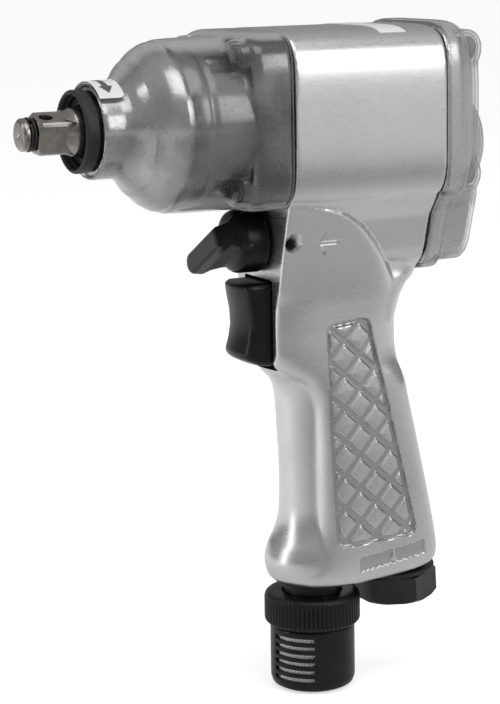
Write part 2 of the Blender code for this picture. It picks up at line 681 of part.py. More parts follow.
def build_throttle():
    ring("valve_seat", 55.0, 52.2, 6.35, 3.6, BRASS, axis=LINE, at=LINE_FOOT, segments=16)
    profile = [(70.0, 0), (70.0, 1.3), (51.8, 1.3), (51.8, 4.8), (50.2, 4.8), (49.4, 2.6), (49.4, 0)]
    valve = turned("throttle_valve", profile, STEEL, axis=LINE, at=LINE_FOOT, segments=12)
    curve = bpy.data.curves.new("throttle_spring", "CURVE")
    curve.dimensions = "3D"
    curve.bevel_depth = 0.42 * MM
    curve.bevel_resolution = 2
    curve.use_fill_caps = True
    turns, steps = 3, 9
    spline = curve.splines.new("POLY")
    spline.points.add(turns * steps)
    matrix = Matrix.Translation(LINE_FOOT) @ toward(LINE)
    for i, point in enumerate(spline.points):
        share = i / (turns * steps)
        x, y = around(5.5 - 1.9 * share, math.tau * turns * share)
        spot = matrix @ Vector((x, y, 36.6 + 11.8 * share))
        point.co = (*(spot * MM), 1.0)
    wire = bpy.data.objects.new("spring_wire", curve)
    CUTTERS.objects.link(wire)
    bpy.context.view_layer.update()
    evaluated = wire.evaluated_get(bpy.context.evaluated_depsgraph_get())
    mesh = bpy.data.meshes.new_from_object(evaluated)
    bpy.data.objects.remove(wire)
    shape = bmesh.new()
    shape.from_mesh(mesh)
    bmesh.ops.remove_doubles(shape, verts=shape.verts, dist=0.00001)
    bmesh.ops.scale(shape, vec=(1 / MM, 1 / MM, 1 / MM), verts=shape.verts)
    from_bmesh("throttle_spring", shape, STEEL)
    return valve


# ---------------------------------------------------------------- air inlet and exhaust

def build_inlet():
    foot = INLET_FOOT
    corner = HEX_ACROSS / math.sqrt(3.0)
    bushing = rod("inlet_bushing", foot + 2.2 * INLET, foot + 10.2 * INLET, corner, BLACK_STEEL, segments=6,
                  turn=math.radians(30.0))
    thread = rod("bushing_thread", foot + 3.0 * INLET, foot - 13.0 * INLET, 8.8, segments=20)
    join(bushing, thread)
    cut(bushing, rod("inlet_bore", foot + 12.0 * INLET, foot - 15.0 * INLET, 6.0, segments=20))
    ring("inlet_washer", 1.85, 0.55, 12.2, 9.2, BLACK_STEEL, axis=-INLET, at=foot + 2.4 * INLET, segments=20)
    cup = [(10.0, 0), (10.0, 4.6), (3.0, 5.6), (3.0, 4.8), (9.2, 3.8), (9.2, 0)]
    turned("inlet_screen", cup, BRASS, axis=-INLET, at=foot, segments=16)


def build_exhaust():
    at = (EXHAUST_X, 0.0, 0.0)
    neck = [
        (-124.0, 7.1), (-138.7, 7.1), (-138.7, 8.6), (-148.0, 8.6), (-148.0, 9.4), (-149.4, 9.4), (-149.4, 5.4),
        (-124.0, 5.4),
    ]
    turned("exhaust_adapter", neck, BLACK_PLASTIC, "Z", at, closed=True)
    collar = [
        (-141.2, 13.4), (-142.4, 14.4), (-150.2, 14.4), (-151.1, 13.4), (-151.1, 9.9), (-147.5, 9.9),
        (-147.5, 9.0), (-141.2, 9.0),
    ]
    turned_collar = turned("silencer_collar", collar, BLACK_PLASTIC, "Z", at, closed=True)
    sleeve = [
        (-168.6, 0), (-168.6, 11.2), (-151.4, 11.2), (-151.4, 12.7), (-169.0, 12.7), (-170.3, 11.4), (-170.3, 0),
    ]
    body = turned("silencer_sleeve", sleeve, BLACK_PLASTIC, "Z", at)
    windows = []
    for i in range(6):
        z = -153.9 - 2.45 * i
        middle = math.radians(32.0)
        corners = []
        for radius, angles in ((10.0, (-32, 0, 32)), (15.5, (32, 0, -32))):
            for angle in angles:
                x, y = around(radius, middle + math.radians(angle))
                corners.append((EXHAUST_X + x, y))
        low = [(x, y, z - 0.55) for x, y in corners]
        high = [(x, y, z + 0.55) for x, y in corners]
        windows.append(loft("sleeve_window", [low, high]))
    cut(body, *windows)
    mesh_tube = ring("silencer_mesh", -151.8, -168.2, 10.8, 10.0, STEEL, "Z", at)
    return turned_collar, body, mesh_tube


# ---------------------------------------------------------------- assembly

def build():
    build_housing()
    build_hammer_case()
    build_nose()
    build_gasket("front_gasket", JOINT_FRONT_X + 0.15, False)
    build_gasket("rear_gasket", JOINT_REAR_X, True)
    build_rear()
    build_screws()
    regulator = build_regulator()
    drive = build_anvil()
    cage = build_cage()
    front_hammer = build_hammer("front_hammer", FRONT_HAMMER, 1)
    rear_hammer = build_hammer("rear_hammer", REAR_HAMMER, -1)
    build_motor()
    rotor = build_rotor()
    front_inner, front_balls = build_bearing("front", FRONT_BEARING_X)
    rear_inner, rear_balls = build_bearing("rear", REAR_BEARING_X)
    lever, spool = build_reverse()
    trigger, push_rod = build_trigger()
    tip_valve = build_throttle()
    build_inlet()
    silencer = build_exhaust()
    for item in list(WRENCH.objects):
        settle(item)
    forward = Vector((math.cos(LINE_SLANT), 0.0, -math.sin(LINE_SLANT)))
    hang("drive_axis", (0.0, 0.0, 0.0), *drive)
    hang("motor_axis", (-94.0, 0.0, 0.0), *rotor, *cage, front_inner, rear_inner)
    hang("front_ball_axis", (-76.0, 0.0, 0.0), front_balls)
    hang("rear_ball_axis", (-112.0, 0.0, 0.0), rear_balls)
    hang("front_hammer_axis", (-47.8, 0.0, PIN_OFFSET), front_hammer)
    hang("rear_hammer_axis", (-57.2, 0.0, -PIN_OFFSET), rear_hammer)
    hang("reverse_axis", (-72.0, 0.0, REVERSE_Z), lever, spool)
    hang("trigger_axis", (TRIGGER_REAR, 0.0, ROD_Z), trigger, push_rod)
    hang("throttle_axis", LINE_FOOT + 51.8 * LINE + 4.8 * forward, tip_valve)
    hang("silencer_axis", (EXHAUST_X, 0.0, -151.0), *silencer)
    hang("regulator_axis", (-134.6, 0.0, -36.0), regulator)


clear_scene()
WRENCH = new_collection("impact_wrench")
CUTTERS = new_collection("cutters")
ALUMINIUM = finish("aluminium", (0.72, 0.73, 0.74), 0.35, 1.0)
STEEL = finish("steel", (0.45, 0.44, 0.43), 0.3, 1.0)
BLACK_STEEL = finish("black_steel", (0.03, 0.03, 0.035), 0.4, 0.8)
GREY_IRON = finish("grey_iron", (0.3, 0.3, 0.31), 0.5, 1.0)
BRONZE = finish("bronze", (0.5, 0.33, 0.16), 0.4, 1.0)
BRASS = finish("brass", (0.7, 0.52, 0.22), 0.35, 1.0)
RUBBER = finish("rubber", (0.02, 0.02, 0.02), 0.6, 0.0)
FIBRE = finish("fibre", (0.1, 0.1, 0.11), 0.8, 0.0)
COMPOSITE = finish("composite", (0.25, 0.14, 0.08), 0.6, 0.0)
BLACK_PLASTIC = finish("black_plastic", (0.02, 0.02, 0.022), 0.4, 0.0)
CLEAR_VINYL = finish("clear_vinyl", (0.85, 0.87, 0.88), 0.15, 0.0, alpha=0.3)
build()
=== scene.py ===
"""Looks of a pistol-grip air impact wrench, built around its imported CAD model.

The frame's +X runs along the drive out of the nose, +Y is the tool's left side and +Z is up.
Lengths are in millimetres until the mesh helpers turn them into metres.
"""
import json
import math

import bmesh
import bpy
import numpy as np
from mathutils import Matrix, Vector
from mathutils.bvhtree import BVHTree


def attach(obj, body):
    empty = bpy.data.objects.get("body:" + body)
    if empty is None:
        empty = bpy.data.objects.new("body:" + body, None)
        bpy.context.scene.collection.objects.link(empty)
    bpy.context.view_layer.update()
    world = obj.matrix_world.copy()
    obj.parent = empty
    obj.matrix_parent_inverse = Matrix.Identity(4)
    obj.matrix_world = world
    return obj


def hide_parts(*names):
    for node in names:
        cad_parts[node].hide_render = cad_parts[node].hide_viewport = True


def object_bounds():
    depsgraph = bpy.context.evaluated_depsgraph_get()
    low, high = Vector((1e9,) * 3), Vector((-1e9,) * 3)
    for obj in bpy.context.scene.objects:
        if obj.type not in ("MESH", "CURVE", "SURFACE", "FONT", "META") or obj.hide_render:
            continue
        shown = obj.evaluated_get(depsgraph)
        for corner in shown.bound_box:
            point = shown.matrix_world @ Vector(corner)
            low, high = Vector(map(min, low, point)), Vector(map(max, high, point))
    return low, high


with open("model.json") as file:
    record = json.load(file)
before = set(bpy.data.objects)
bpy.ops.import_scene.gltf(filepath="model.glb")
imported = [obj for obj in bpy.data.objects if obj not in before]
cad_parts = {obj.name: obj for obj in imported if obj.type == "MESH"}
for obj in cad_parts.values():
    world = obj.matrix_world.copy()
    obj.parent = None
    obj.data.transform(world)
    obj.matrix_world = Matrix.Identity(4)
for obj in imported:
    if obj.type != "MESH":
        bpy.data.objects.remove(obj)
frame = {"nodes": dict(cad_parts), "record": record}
CAD_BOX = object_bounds()

MM = 0.001
TAU = math.tau

# Camera, as a place to look at, a direction, a distance and a roll
CAMERA_TARGET = (-69.3, 0.0, -66.76)
CAMERA_YAW = math.radians(27.06)
CAMERA_RISE = math.radians(10.93)
CAMERA_ROLL = math.radians(-0.97)
CAMERA_DISTANCE = 627.3
CAMERA_LENS = 110.48

# Casings
FRONT_X = -72.4
REAR_X = -121.3
BOLT_Y = 16.5
BOLT_Z = 18.0
CENTRE_Z = 1.0

# Drive
SQUARE = 9.53
ROLL = math.radians(18.0)

# Rear
DOME_Z = -9.0
REGULATOR_Z = -36.0

# Controls and foot
REVERSE_Z = -34.0
WING_ANGLE = math.radians(209.5)
TRIGGER_Z = -58.0
TRIGGER_HALF = 7.9
DETENT_X = -75.2
EXHAUST_X = -88.9
INLET_FOOT = Vector((-117.5, 0.0, -137.0))
INLET_TILT = math.radians(3.0)
INLET = Vector((-math.sin(INLET_TILT), 0.0, -math.cos(INLET_TILT)))


# ---------------- mesh helpers

# Points closer than this are one point
MERGE = 0.0005


def new_piece(name, data):
    item = bpy.data.objects.new(name, data)
    bpy.context.scene.collection.objects.link(item)
    return item


def to_piece(name, shape):
    mesh = bpy.data.meshes.new(name)
    shape.to_mesh(mesh)
    shape.free()
    return new_piece(name, mesh)


def from_bmesh(name, shape, merge=0.0):
    """Piece from a shape in millimetres, with its faces turned outwards."""
    if merge:
        bmesh.ops.remove_doubles(shape, verts=shape.verts, dist=merge)
    bmesh.ops.recalc_face_normals(shape, faces=shape.faces)
    bmesh.ops.scale(shape, vec=(MM, MM, MM), verts=shape.verts)
    return to_piece(name, shape)


def toward(direction):
    return Vector(direction).to_track_quat("Z", "Y").to_matrix().to_4x4()


def rod(name, start, end, radius, end_radius=None, segments=64, turn=0.0):
    start = Vector(start)
    end = Vector(end)
    span = end - start
    matrix = Matrix.Translation((start + end) / 2) @ toward(span) @ Matrix.Rotation(turn, 4, "Z")
    shape = bmesh.new()
    bmesh.ops.create_cone(shape, cap_ends=True, segments=segments, radius1=radius,
                          radius2=radius if end_radius is None else end_radius,
                          depth=span.length, matrix=matrix)
    return from_bmesh(name, shape)


def bore(name, start, end, radius, y=0.0, z=0.0):
    """Rod along X between two places."""
    return rod(name, (start, y, z), (end, y, z), radius)


def box(name, low, high, turn=0.0, bevel=0.0):
    low = Vector(low)
    high = Vector(high)
    shape = bmesh.new()
    bmesh.ops.create_cube(shape, size=1.0)
    bmesh.ops.scale(shape, vec=high - low, verts=shape.verts)
    bmesh.ops.translate(shape, vec=(low + high) / 2, verts=shape.verts)
    if bevel:
        edges = list(shape.edges)
        bmesh.ops.bevel(shape, geom=edges, offset=bevel, segments=3, profile=0.5, affect="EDGES")
    bmesh.ops.rotate(shape, cent=(0, 0, 0), matrix=Matrix.Rotation(turn, 3, "X"), verts=shape.verts)
    return from_bmesh(name, shape)


def skin(name, rings, caps=True, wrap=True, merge=0.0):
    """Quads through rows of points; rows close on themselves when wrap is set."""
    shape = bmesh.new()
    rows = [[shape.verts.new(point) for point in ring] for ring in rings]
    count = len(rings[0])
    for row, following in zip(rows, rows[1:]):
        for i in range(count if wrap else count - 1):
            j = (i + 1) % count
            shape.faces.new((row[i], row[j], following[j], following[i]))
    if caps:
        shape.faces.new(rows[0])
        shape.faces.new(rows[-1])
    return from_bmesh(name, shape, merge)


def turned(name, profile, axis=(1, 0, 0), at=(0, 0, 0), segments=96, closed=False):
    """Turn a profile of (place along the axis, radius) about an axis."""
    matrix = Matrix.Translation(Vector(at)) @ toward(axis)
    angles = [TAU * i / segments for i in range(segments)]
    rings = []
    for along, radius in profile:
        circle = [Vector((radius * math.cos(a), radius * math.sin(a), along)) for a in angles]
        rings.append([matrix @ point for point in circle])
    if closed:
        rings.append(rings[0])
    return skin(name, rings, caps=not closed, merge=MERGE)


def combine(item, operation, others):
    for other in others:
        step = item.modifiers.new(operation.lower(), "BOOLEAN")
        step.operation = operation
        step.solver = "EXACT"
        step.object = other
    settle(item)
    for other in others:
        bpy.data.objects.remove(other)


def cut(item, *others):
    combine(item, "DIFFERENCE", others)


def join(item, *others):
    combine(item, "UNION", others)


def settle(item):
    """Turn a piece and its modifiers into a plain mesh."""
    bpy.context.view_layer.update()
    evaluated = item.evaluated_get(bpy.context.evaluated_depsgraph_get())
    mesh = bpy.data.meshes.new_from_object(evaluated)
    item.modifiers.clear()
    item.data = mesh
    return item


def bevel(item, width, segments=3, angle=32.0):
    step = item.modifiers.new("bevel", "BEVEL")
    step.width = width * MM
    step.segments = segments
    step.limit_method = "ANGLE"
    step.angle_limit = math.radians(angle)
    settle(item)


def smooth(item, angle):
    item.data.shade_smooth()
    item.data.set_sharp_from_angle(angle=math.radians(angle))


def arc(start, corner, end, steps):
    """Quadratic arc from start to end, drawn towards a corner."""
    shares = [i / steps for i in range(steps + 1)]
    return [start.lerp(corner, t).lerp(corner.lerp(end, t), t) for t in shares]


def rounded(profile, radius):
    """Profile of (along, radius) points with its inner corners rounded by short arcs."""
    points = [Vector(p) for p in profile]
    result = [tuple(points[0])]
    for before, corner, after in zip(points, points[1:], points[2:]):
        first = before - corner
        second = after - corner
        reach = min(radius, first.length * 0.45, second.length * 0.45)
        start = corner + first.normalized() * reach
        end = corner + second.normalized() * reach
        result += [tuple(spot) for spot in arc(start, corner, end, 4)]
    result.append(tuple(points[-1]))
    return result


def eased(x, stops):
    """Smooth value at x through (place, value) stops, which never swings past them."""
    places, values = zip(*sorted(stops))
    gaps = np.diff(places)
    slopes = np.diff(values) / gaps
    tangents = np.zeros(len(places))
    for i in range(1, len(places) - 1):
        if slopes[i - 1] * slopes[i] > 0:
            w1 = 2 * gaps[i] + gaps[i - 1]
            w2 = gaps[i] + 2 * gaps[i - 1]
            tangents[i] = (w1 + w2) / (w1 / slopes[i - 1] + w2 / slopes[i])
    tangents[0] = slopes[0]
    tangents[-1] = slopes[-1]
    x = min(max(x, places[0]), places[-1])
    i = min(max(int(np.searchsorted(places, x)) - 1, 0), len(gaps) - 1)
    t = (x - places[i]) / gaps[i]
    return float((2 * t**3 - 3 * t**2 + 1) * values[i] + (t**3 - 2 * t**2 + t) * gaps[i] * tangents[i]
                 + (3 * t**2 - 2 * t**3) * values[i + 1] + (t**3 - t**2) * gaps[i] * tangents[i + 1])


def spread(start, end, count):
    return [start + (end - start) * i / (count - 1) for i in range(count)]


def at_place(place, stops):
    """Every other column of a table of stops, eased to a place in its first column."""
    return [eased(place, [(row[0], row[k]) for row in stops]) for k in range(1, len(stops[0]))]


def squared_circle(power, half_u, half_v, count):
    """Outline of a flattened circle, squarer with a higher power."""
    points = []
    for i in range(count):
        angle = TAU * (i + 0.5) / count
        u, v = math.cos(angle), math.sin(angle)
        size = (abs(u) ** power + abs(v) ** power) ** (-1.0 / power)
        points.append((half_u * size * u, half_v * size * v))
    return points


def squircle(x, half_y, half_z, power):
    return [(x, y, CENTRE_Z + z) for y, z in squared_circle(power, half_y, half_z, 160)]


# ---------------- materials

def fill(tree, socket, value):
    """Set a socket to a value, or link it to the socket that drives it."""
    if isinstance(value, bpy.types.NodeSocket):
        tree.links.new(value, socket)
    else:
        socket.default_value = value


def feed(tree, **values):
    """Fill the main shader's sockets by name."""
    sockets = tree.nodes["Principled BSDF"].inputs
    for key, value in values.items():
        fill(tree, sockets[key.replace("_", " ")], value)


def new_material(name, **values):
    material = bpy.data.materials.new(name)
    material.use_nodes = True
    feed(material.node_tree, **values)
    return material, material.node_tree


def add(tree, kind, *inputs, **values):
    """New node with its first sockets filled in order, and other sockets or settings by name."""
    node = tree.nodes.new(kind)
    for key, value in values.items():
        if key in node.inputs:
            fill(tree, node.inputs[key], value)
        else:
            setattr(node, key, value)
    for socket, value in zip(node.inputs, inputs):
        fill(tree, socket, value)
    return node


def noise(tree, scale, detail=3.0, stretch=(1.0, 1.0, 1.0), roughness=0.5):
    """Noise in the object's own coordinates; stretch makes it long on one axis."""
    place = add(tree, "ShaderNodeTexCoord").outputs["Object"]
    place = add(tree, "ShaderNodeMapping", place, Scale=stretch).outputs["Vector"]
    texture = add(tree, "ShaderNodeTexNoise", place, Scale=scale, Detail=detail, Roughness=roughness)
    return texture.outputs["Fac"]


def ramp(tree, source, low, high, first=0.3, last=0.7):
    """Colour or value ramp between two ends; plain numbers give greys."""
    node = add(tree, "ShaderNodeValToRGB", source)
    ends = node.color_ramp.elements
    for end, position, value in zip(ends, (first, last), (low, high)):
        end.position = position
        end.color = (*value, 1.0) if isinstance(value, tuple) else (value, value, value, 1.0)
    return node.outputs["Color"]


def mixed(tree, kind, share, first, second):
    """Mix of two colours by a share; each is a socket or a plain value."""
    node = add(tree, "ShaderNodeMix", data_type="RGBA", blend_type=kind)
    for place, value in ((0, share), (6, first), (7, second)):
        fill(tree, node.inputs[place], value)
    return node.outputs[2]


def finish(material, tint, roughness, bumps):
    """Give a material its colour, roughness and bumps of (height, distance in millimetres, strength)."""
    tree = material.node_tree
    normal = None
    for height, distance, strength in bumps:
        node = add(tree, "ShaderNodeBump", Distance=distance * MM, Strength=strength, Height=height)
        if normal is not None:
            tree.links.new(normal, node.inputs["Normal"])
        normal = node.outputs["Normal"]
    feed(tree, Base_Color=tint, Roughness=roughness, Normal=normal)
    return material


def cast_aluminium(name):
    """Brushed bright casting; the ground of its sunken panels is darkened by painted shade."""
    material, tree = new_material(name, Metallic=1.0)
    cloud = noise(tree, 45.0, 4.0)
    fine = noise(tree, 1900.0, 2.0)
    brushed = noise(tree, 420.0, 3.0, stretch=(1.0, 1.0, 10.0))
    tint = ramp(tree, cloud, (0.670, 0.673, 0.680), (0.720, 0.720, 0.724), 0.35, 0.7)
    # Painted shade: the colour is multiplied darker on the panels' sunken ground, where the recesses would
    # fall into shade.
    ground = add(tree, "ShaderNodeAttribute", attribute_name="ground").outputs["Fac"]
    tint = mixed(tree, "MULTIPLY", ground, tint, (0.74, 0.74, 0.745, 1.0))
    roughness = ramp(tree, brushed, 0.24, 0.38, 0.25, 0.75)
    bumps = [(fine, 0.03, 0.05), (brushed, 0.03, 0.03), (cloud, 0.25, 0.03)]
    return finish(material, tint, roughness, bumps)


def polished_case(name):
    """Smooth casting under the clear cover, painted dark behind its front shoulder as a dark reflection.
    """
    material, tree = new_material(name, Metallic=1.0)
    cloud = noise(tree, 70.0, 4.0)
    fine = noise(tree, 900.0, 2.0)
    place = add(tree, "ShaderNodeTexCoord").outputs["Object"]
    along = add(tree, "ShaderNodeSeparateXYZ", place).outputs["X"]
    # Distance behind the drive's end, in tenths of a metre
    back = add(tree, "ShaderNodeMath", along, -10.0, operation="MULTIPLY").outputs[0]
    tint = ramp(tree, cloud, 0.28, (0.56, 0.56, 0.555))
    # Painted reflection: the colour drops to 0.30 behind about X = -41.5 mm, standing in for the dark
    # reflections seen on the case.
    tint = mixed(tree, "MULTIPLY", 1.0, tint, ramp(tree, back, 1.0, 0.30, 0.405, 0.425))
    return finish(material, tint, ramp(tree, fine, 0.16, 0.28), [(cloud, 0.6, 0.12), (fine, 0.03, 0.15)])


def clear_vinyl(name, low=0.04, high=0.20):
    """Clear soft plastic: see-through when faced, smoky at a glancing view, with a wet gloss."""
    material, tree = new_material(name, Metallic=0.0, IOR=1.32, Coat_Weight=0.35, Coat_Roughness=0.04)
    cloud = noise(tree, 60.0, 4.0)
    facing = add(tree, "ShaderNodeLayerWeight", Blend=0.35).outputs["Facing"]
    tint = ramp(tree, facing, (0.66, 0.67, 0.68), (0.32, 0.32, 0.325), 0.20, 0.70)
    edge = ramp(tree, facing, low, 0.96, 0.34, 0.58)
    haze = ramp(tree, cloud, low, high, 0.42, 0.75)
    body = add(tree, "ShaderNodeMath", edge, haze, operation="MAXIMUM").outputs[0]
    feed(tree, Alpha=body)
    return finish(material, tint, ramp(tree, cloud, 0.06, 0.14), [(cloud, 0.9, 0.18)])


def black_plastic(name):
    material, tree = new_material(name, Metallic=0.0, Specular_IOR_Level=0.28)
    fine = noise(tree, 1400.0, 3.0)
    cloud = noise(tree, 90.0, 3.0)
    tint = ramp(tree, cloud, (0.0045, 0.0045, 0.0047), (0.0077, 0.0077, 0.0081))
    return finish(material, tint, ramp(tree, cloud, 0.24, 0.36), [(fine, 0.04, 0.35), (cloud, 0.2, 0.05)])


def black_steel(name):
    material, tree = new_material(name, Metallic=0.55)
    fine = noise(tree, 1000.0, 3.0)
    cloud = noise(tree, 120.0, 3.0)
    tint = ramp(tree, cloud, 0.018, (0.036, 0.036, 0.038))
    return finish(material, tint, ramp(tree, fine, 0.26, 0.42), [(fine, 0.03, 0.3)])


def ground_steel(name, dark, light, low, high, scale=160.0):
    material, tree = new_material(name, Metallic=1.0)
    cloud = noise(tree, scale, 5.0, roughness=0.6)
    lines = noise(tree, 1200.0, 3.0, stretch=(7.0, 1.0, 1.0))
    tint = ramp(tree, cloud, dark, light, 0.3, 0.75)
    return finish(material, tint, ramp(tree, lines, low, high), [(lines, 0.02, 0.25), (cloud, 0.08, 0.08)])


def soft_rubber(name, tone=0.009):
    material, tree = new_material(name, Metallic=0.0)
    fine = noise(tree, 1100.0, 4.0)
    cloud = noise(tree, 200.0, 3.0)
    tint = ramp(tree, cloud, tone, tone * 2.2)
    return finish(material, tint, ramp(tree, fine, 0.45, 0.65), [(fine, 0.05, 0.4)])


def printed_label(name, tone=(0.93, 0.93, 0.92)):
    material, tree = new_material(name, Metallic=0.0)
    fine = noise(tree, 700.0, 3.0)
    tint = ramp(tree, fine, tuple(v * 0.95 for v in tone), tone)
    return finish(material, tint, ramp(tree, fine, 0.3, 0.42), [(fine, 0.02, 0.1)])


ALUMINIUM = cast_aluminium("cast_aluminium_look")
CASE_METAL = polished_case("polished_case_look")
VINYL = clear_vinyl("clear_vinyl_look")
SMOKY_VINYL = clear_vinyl("smoky_vinyl_look", 0.20, 0.42)
PLASTIC = black_plastic("black_plastic_look")
OXIDE = black_steel("black_oxide_look")
STEEL = ground_steel("ground_steel_look", (0.20, 0.18, 0.165), (0.46, 0.43, 0.40), 0.20, 0.36)
RUBBER = soft_rubber("rubber_look")
BRONZE = ground_steel("bronze_look", (0.30, 0.19, 0.09), (0.55, 0.38, 0.20), 0.25, 0.4)
BRASS = ground_steel("brass_look", (0.48, 0.34, 0.12), (0.75, 0.58, 0.28), 0.25, 0.4)
IRON = ground_steel("iron_look", (0.22, 0.22, 0.225), (0.38, 0.38, 0.385), 0.3, 0.5)
FIBRE = soft_rubber("fibre_look", 0.05)
COMPOSITE = soft_rubber("composite_look", 0.12)
LABEL = printed_label("label_look")
INK = printed_label("ink_look", (0.10, 0.10, 0.105))
WIRE = ground_steel("wire_look", (0.80, 0.79, 0.77), (0.98, 0.97, 0.95), 0.3, 0.45, scale=900.0)

SLOT_LOOKS = {
    "cast_aluminium": ALUMINIUM, "clear_vinyl": VINYL, "steel": STEEL, "black_steel": OXIDE,
    "grey_iron": IRON, "bronze": BRONZE, "brass": BRASS, "rubber": RUBBER, "fibre": FIBRE,
    "vane_composite": COMPOSITE, "black_plastic": PLASTIC,
}


def show(item, look, body, slot, *nodes, angle=40.0):
    """Give a finished piece its look, its body and the CAD nodes it stands for; its slot argument is not
    used.
    """
    item.data.materials.clear()
    item.data.materials.append(look)
    smooth(item, angle)
    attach(item, body)
    if nodes:
        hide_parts(*nodes)


def dress_frame():
    """Every CAD node that stays gets the look of its slot."""
    slots = {part["node"]: part["material_slot"] for part in frame["record"]["subparts"]}
    for node, item in frame["nodes"].items():
        look = SLOT_LOOKS[slots[node]]
        for place in item.material_slots:
            place.material = look
        smooth(item, 30.0)


# ---------------- housing

# Height, front, rear, half width and squareness of the flat-sided part of the grip
GRIP_STOPS = [
    (-19.0, -66.0, -72.0, 20.8, 12.0), (-22.7, -66.0, -78.0, 20.0, 12.0),
    (-25.6, -66.0, -91.0, 19.0, 12.0), (-28.9, -66.0, -97.0, 18.0, 12.0),
    (-33.3, -66.0, -101.8, 16.8, 11.0), (-38.3, -66.2, -106.0, 15.5, 10.0),
    (-43.8, -66.8, -109.6, 14.3, 8.0), (-47.5, -67.5, -112.0, 13.7, 6.0),
    (-52.5, -68.5, -114.8, 13.3, 4.0), (-60.0, -68.5, -114.4, 13.4, 3.4),
    (-66.0, -68.9, -114.4, 13.6, 3.4), (-70.5, -71.8, -114.7, 13.7, 3.6),
    (-73.0, -75.6, -115.0, 13.8, 4.0), (-75.5, -80.4, -115.4, 13.9, 5.0),
    (-79.0, -83.6, -116.0, 14.1, 6.0), (-84.0, -85.0, -117.0, 14.3, 6.0),
    (-95.0, -85.4, -119.4, 14.7, 6.0), (-108.0, -85.4, -122.2, 15.1, 6.0),
    (-119.0, -85.0, -124.6, 15.4, 5.5), (-126.0, -83.4, -126.0, 15.6, 5.0),
    (-131.0, -80.6, -127.0, 15.7, 4.5), (-135.0, -78.6, -127.4, 15.4, 4.0),
    (-137.6, -79.4, -126.2, 14.4, 3.4), (-138.6, -81.5, -124.0, 12.8, 3.0),
]

# Height, front, depth and half width of the rounded front bulge of the grip
BULGE_STOPS = [
    (-66.0, -70.8, 20.0, 11.2), (-70.4, -72.0, 20.0, 12.2), (-73.5, -74.6, 20.5, 12.2),
    (-76.5, -77.2, 21.0, 11.5), (-81.0, -78.3, 21.0, 10.7), (-92.0, -78.9, 21.0, 10.3),
    (-105.0, -79.5, 21.0, 10.5), (-114.0, -79.5, 21.0, 10.9), (-119.0, -79.0, 21.5, 11.7),
    (-123.0, -77.8, 23.0, 12.8), (-127.0, -75.8, 26.0, 13.9), (-131.0, -74.8, 28.0, 14.6),
    (-135.3, -75.6, 28.0, 14.4), (-137.8, -78.0, 26.0, 13.2), (-138.7, -80.6, 22.0, 11.4),
]

# Height, rear and half width of the core that joins the grip to the lobe behind its side faces
NECK_STOPS = [
    (-60.0, -113.4, 12.2), (-53.0, -115.6, 12.3), (-50.4, -117.0, 12.3), (-48.4, -118.6, 12.1),
    (-46.8, -120.8, 11.8), (-45.4, -121.3, 11.4), (-40.0, -121.3, 11.0),
]
NECK_FRONT = -88.0

# Half outline of the lobe under the barrel, from its root to its keel
LOBE_HALF = [
    (22.6, -12.0), (21.4, -20.0), (18.4, -24.6), (15.4, -28.6), (13.9, -33.4), (12.5, -38.4),
    (10.7, -42.2), (7.4, -44.9), (3.0, -45.8),
]

# The flat sole of the grip climbs from its front to the rear; the slope fades in below the foot's top
FOOT_SLOPE = 0.05
FOOT_FRONT = -79.0
FOOT_TOP = -118.0
FOOT_FADE = 20.0


def foot_lift(z, x):
    share = min(max((FOOT_TOP - z) / FOOT_FADE, 0.0), 1.0)
    return FOOT_SLOPE * share * (FOOT_FRONT - x)


def grip_slice(z, middle, outline):
    """Slice of the grip at a height, cut off at the housing's front and lifted along the sole."""
    points = []
    for u, y in outline:
        x = min(middle + u, FRONT_X)
        points.append((x, y, z + foot_lift(z, x)))
    return points


def grip_ring(z):
    front, rear, half, power = at_place(z, GRIP_STOPS)
    return grip_slice(z, (front + rear) / 2, squared_circle(power, (front - rear) / 2, half, 96))


def bulge_ring(z):
    front, depth, half = at_place(z, BULGE_STOPS)
    return grip_slice(z, front - depth / 2, squared_circle(2.0, depth / 2, half, 72))


def lobe_rings(start, end, grow=0.0):
    right = [(y + grow, z - grow * (1.0 if y < 12.0 else 0.5)) for y, z in LOBE_HALF]
    outline = right + [(-y, z) for y, z in reversed(right)]
    return [[(x, y, z) for y, z in outline] for x in spread(start, end, 8)]


def remesh(item, voxel, passes):
    """Join overlapping shapes into one skin of small faces, and smooth it."""
    step = item.modifiers.new("remesh", "REMESH")
    step.mode = "VOXEL"
    step.voxel_size = voxel * MM
    settle(item)
    step = item.modifiers.new("smooth", "SMOOTH")
    step.factor = 0.5
    step.iterations = passes
    return settle(item)


def merge_objects(name, items):
    """One mesh that holds the shapes of several objects, still overlapping."""
    shape = bmesh.new()
    for item in items:
        shape.from_mesh(item.data)
        bpy.data.objects.remove(item)
    return to_piece(name, shape)


# Corners in (X, Z) of the diamond panel and the plate on the grip's sides, with their depths
PANEL_CORNERS = [(-87.3, -58.8), (-101.8, -57.4), (-116.8, -124.4), (-89.6, -125.2)]
PLATE_CORNERS = [(-96.8, -129.0), (-119.6, -126.6), (-119.6, -130.9), (-96.8, -133.5)]
PANEL_DEPTH = 1.15
PLATE_DEPTH = 0.6

# What stands up from them, and the arrow beside the reverse knob
DIAMOND_CENTRE = (-97.9, -103.3)
DIAMOND_STEPS = ((-5.0, -4.45), (5.2, -5.5))
DIAMOND_INSET = 0.95
DIAMOND_RISE = 0.95
PANEL_BORDER = 1.3
DROP_CENTRE = (-108.4, -130.7)
DROP_RADIUS = 1.1
DROP_POINT = 2.3
ARROW_TIP = (-82.6, -34.3)
ARROW_LENGTH = 7.6
ARROW_HEAD = 3.2
MARK_RISE = 0.5
EDGE_WIDTH = 0.3

# The sides of the grip lie further out than this, and are refined in these ranges of X and Z
SIDE_Y = 8.0
REFINED = ((-122.5, -86.0, -135.5, -56.0), (-91.2, -81.6, -38.5, -30.0))


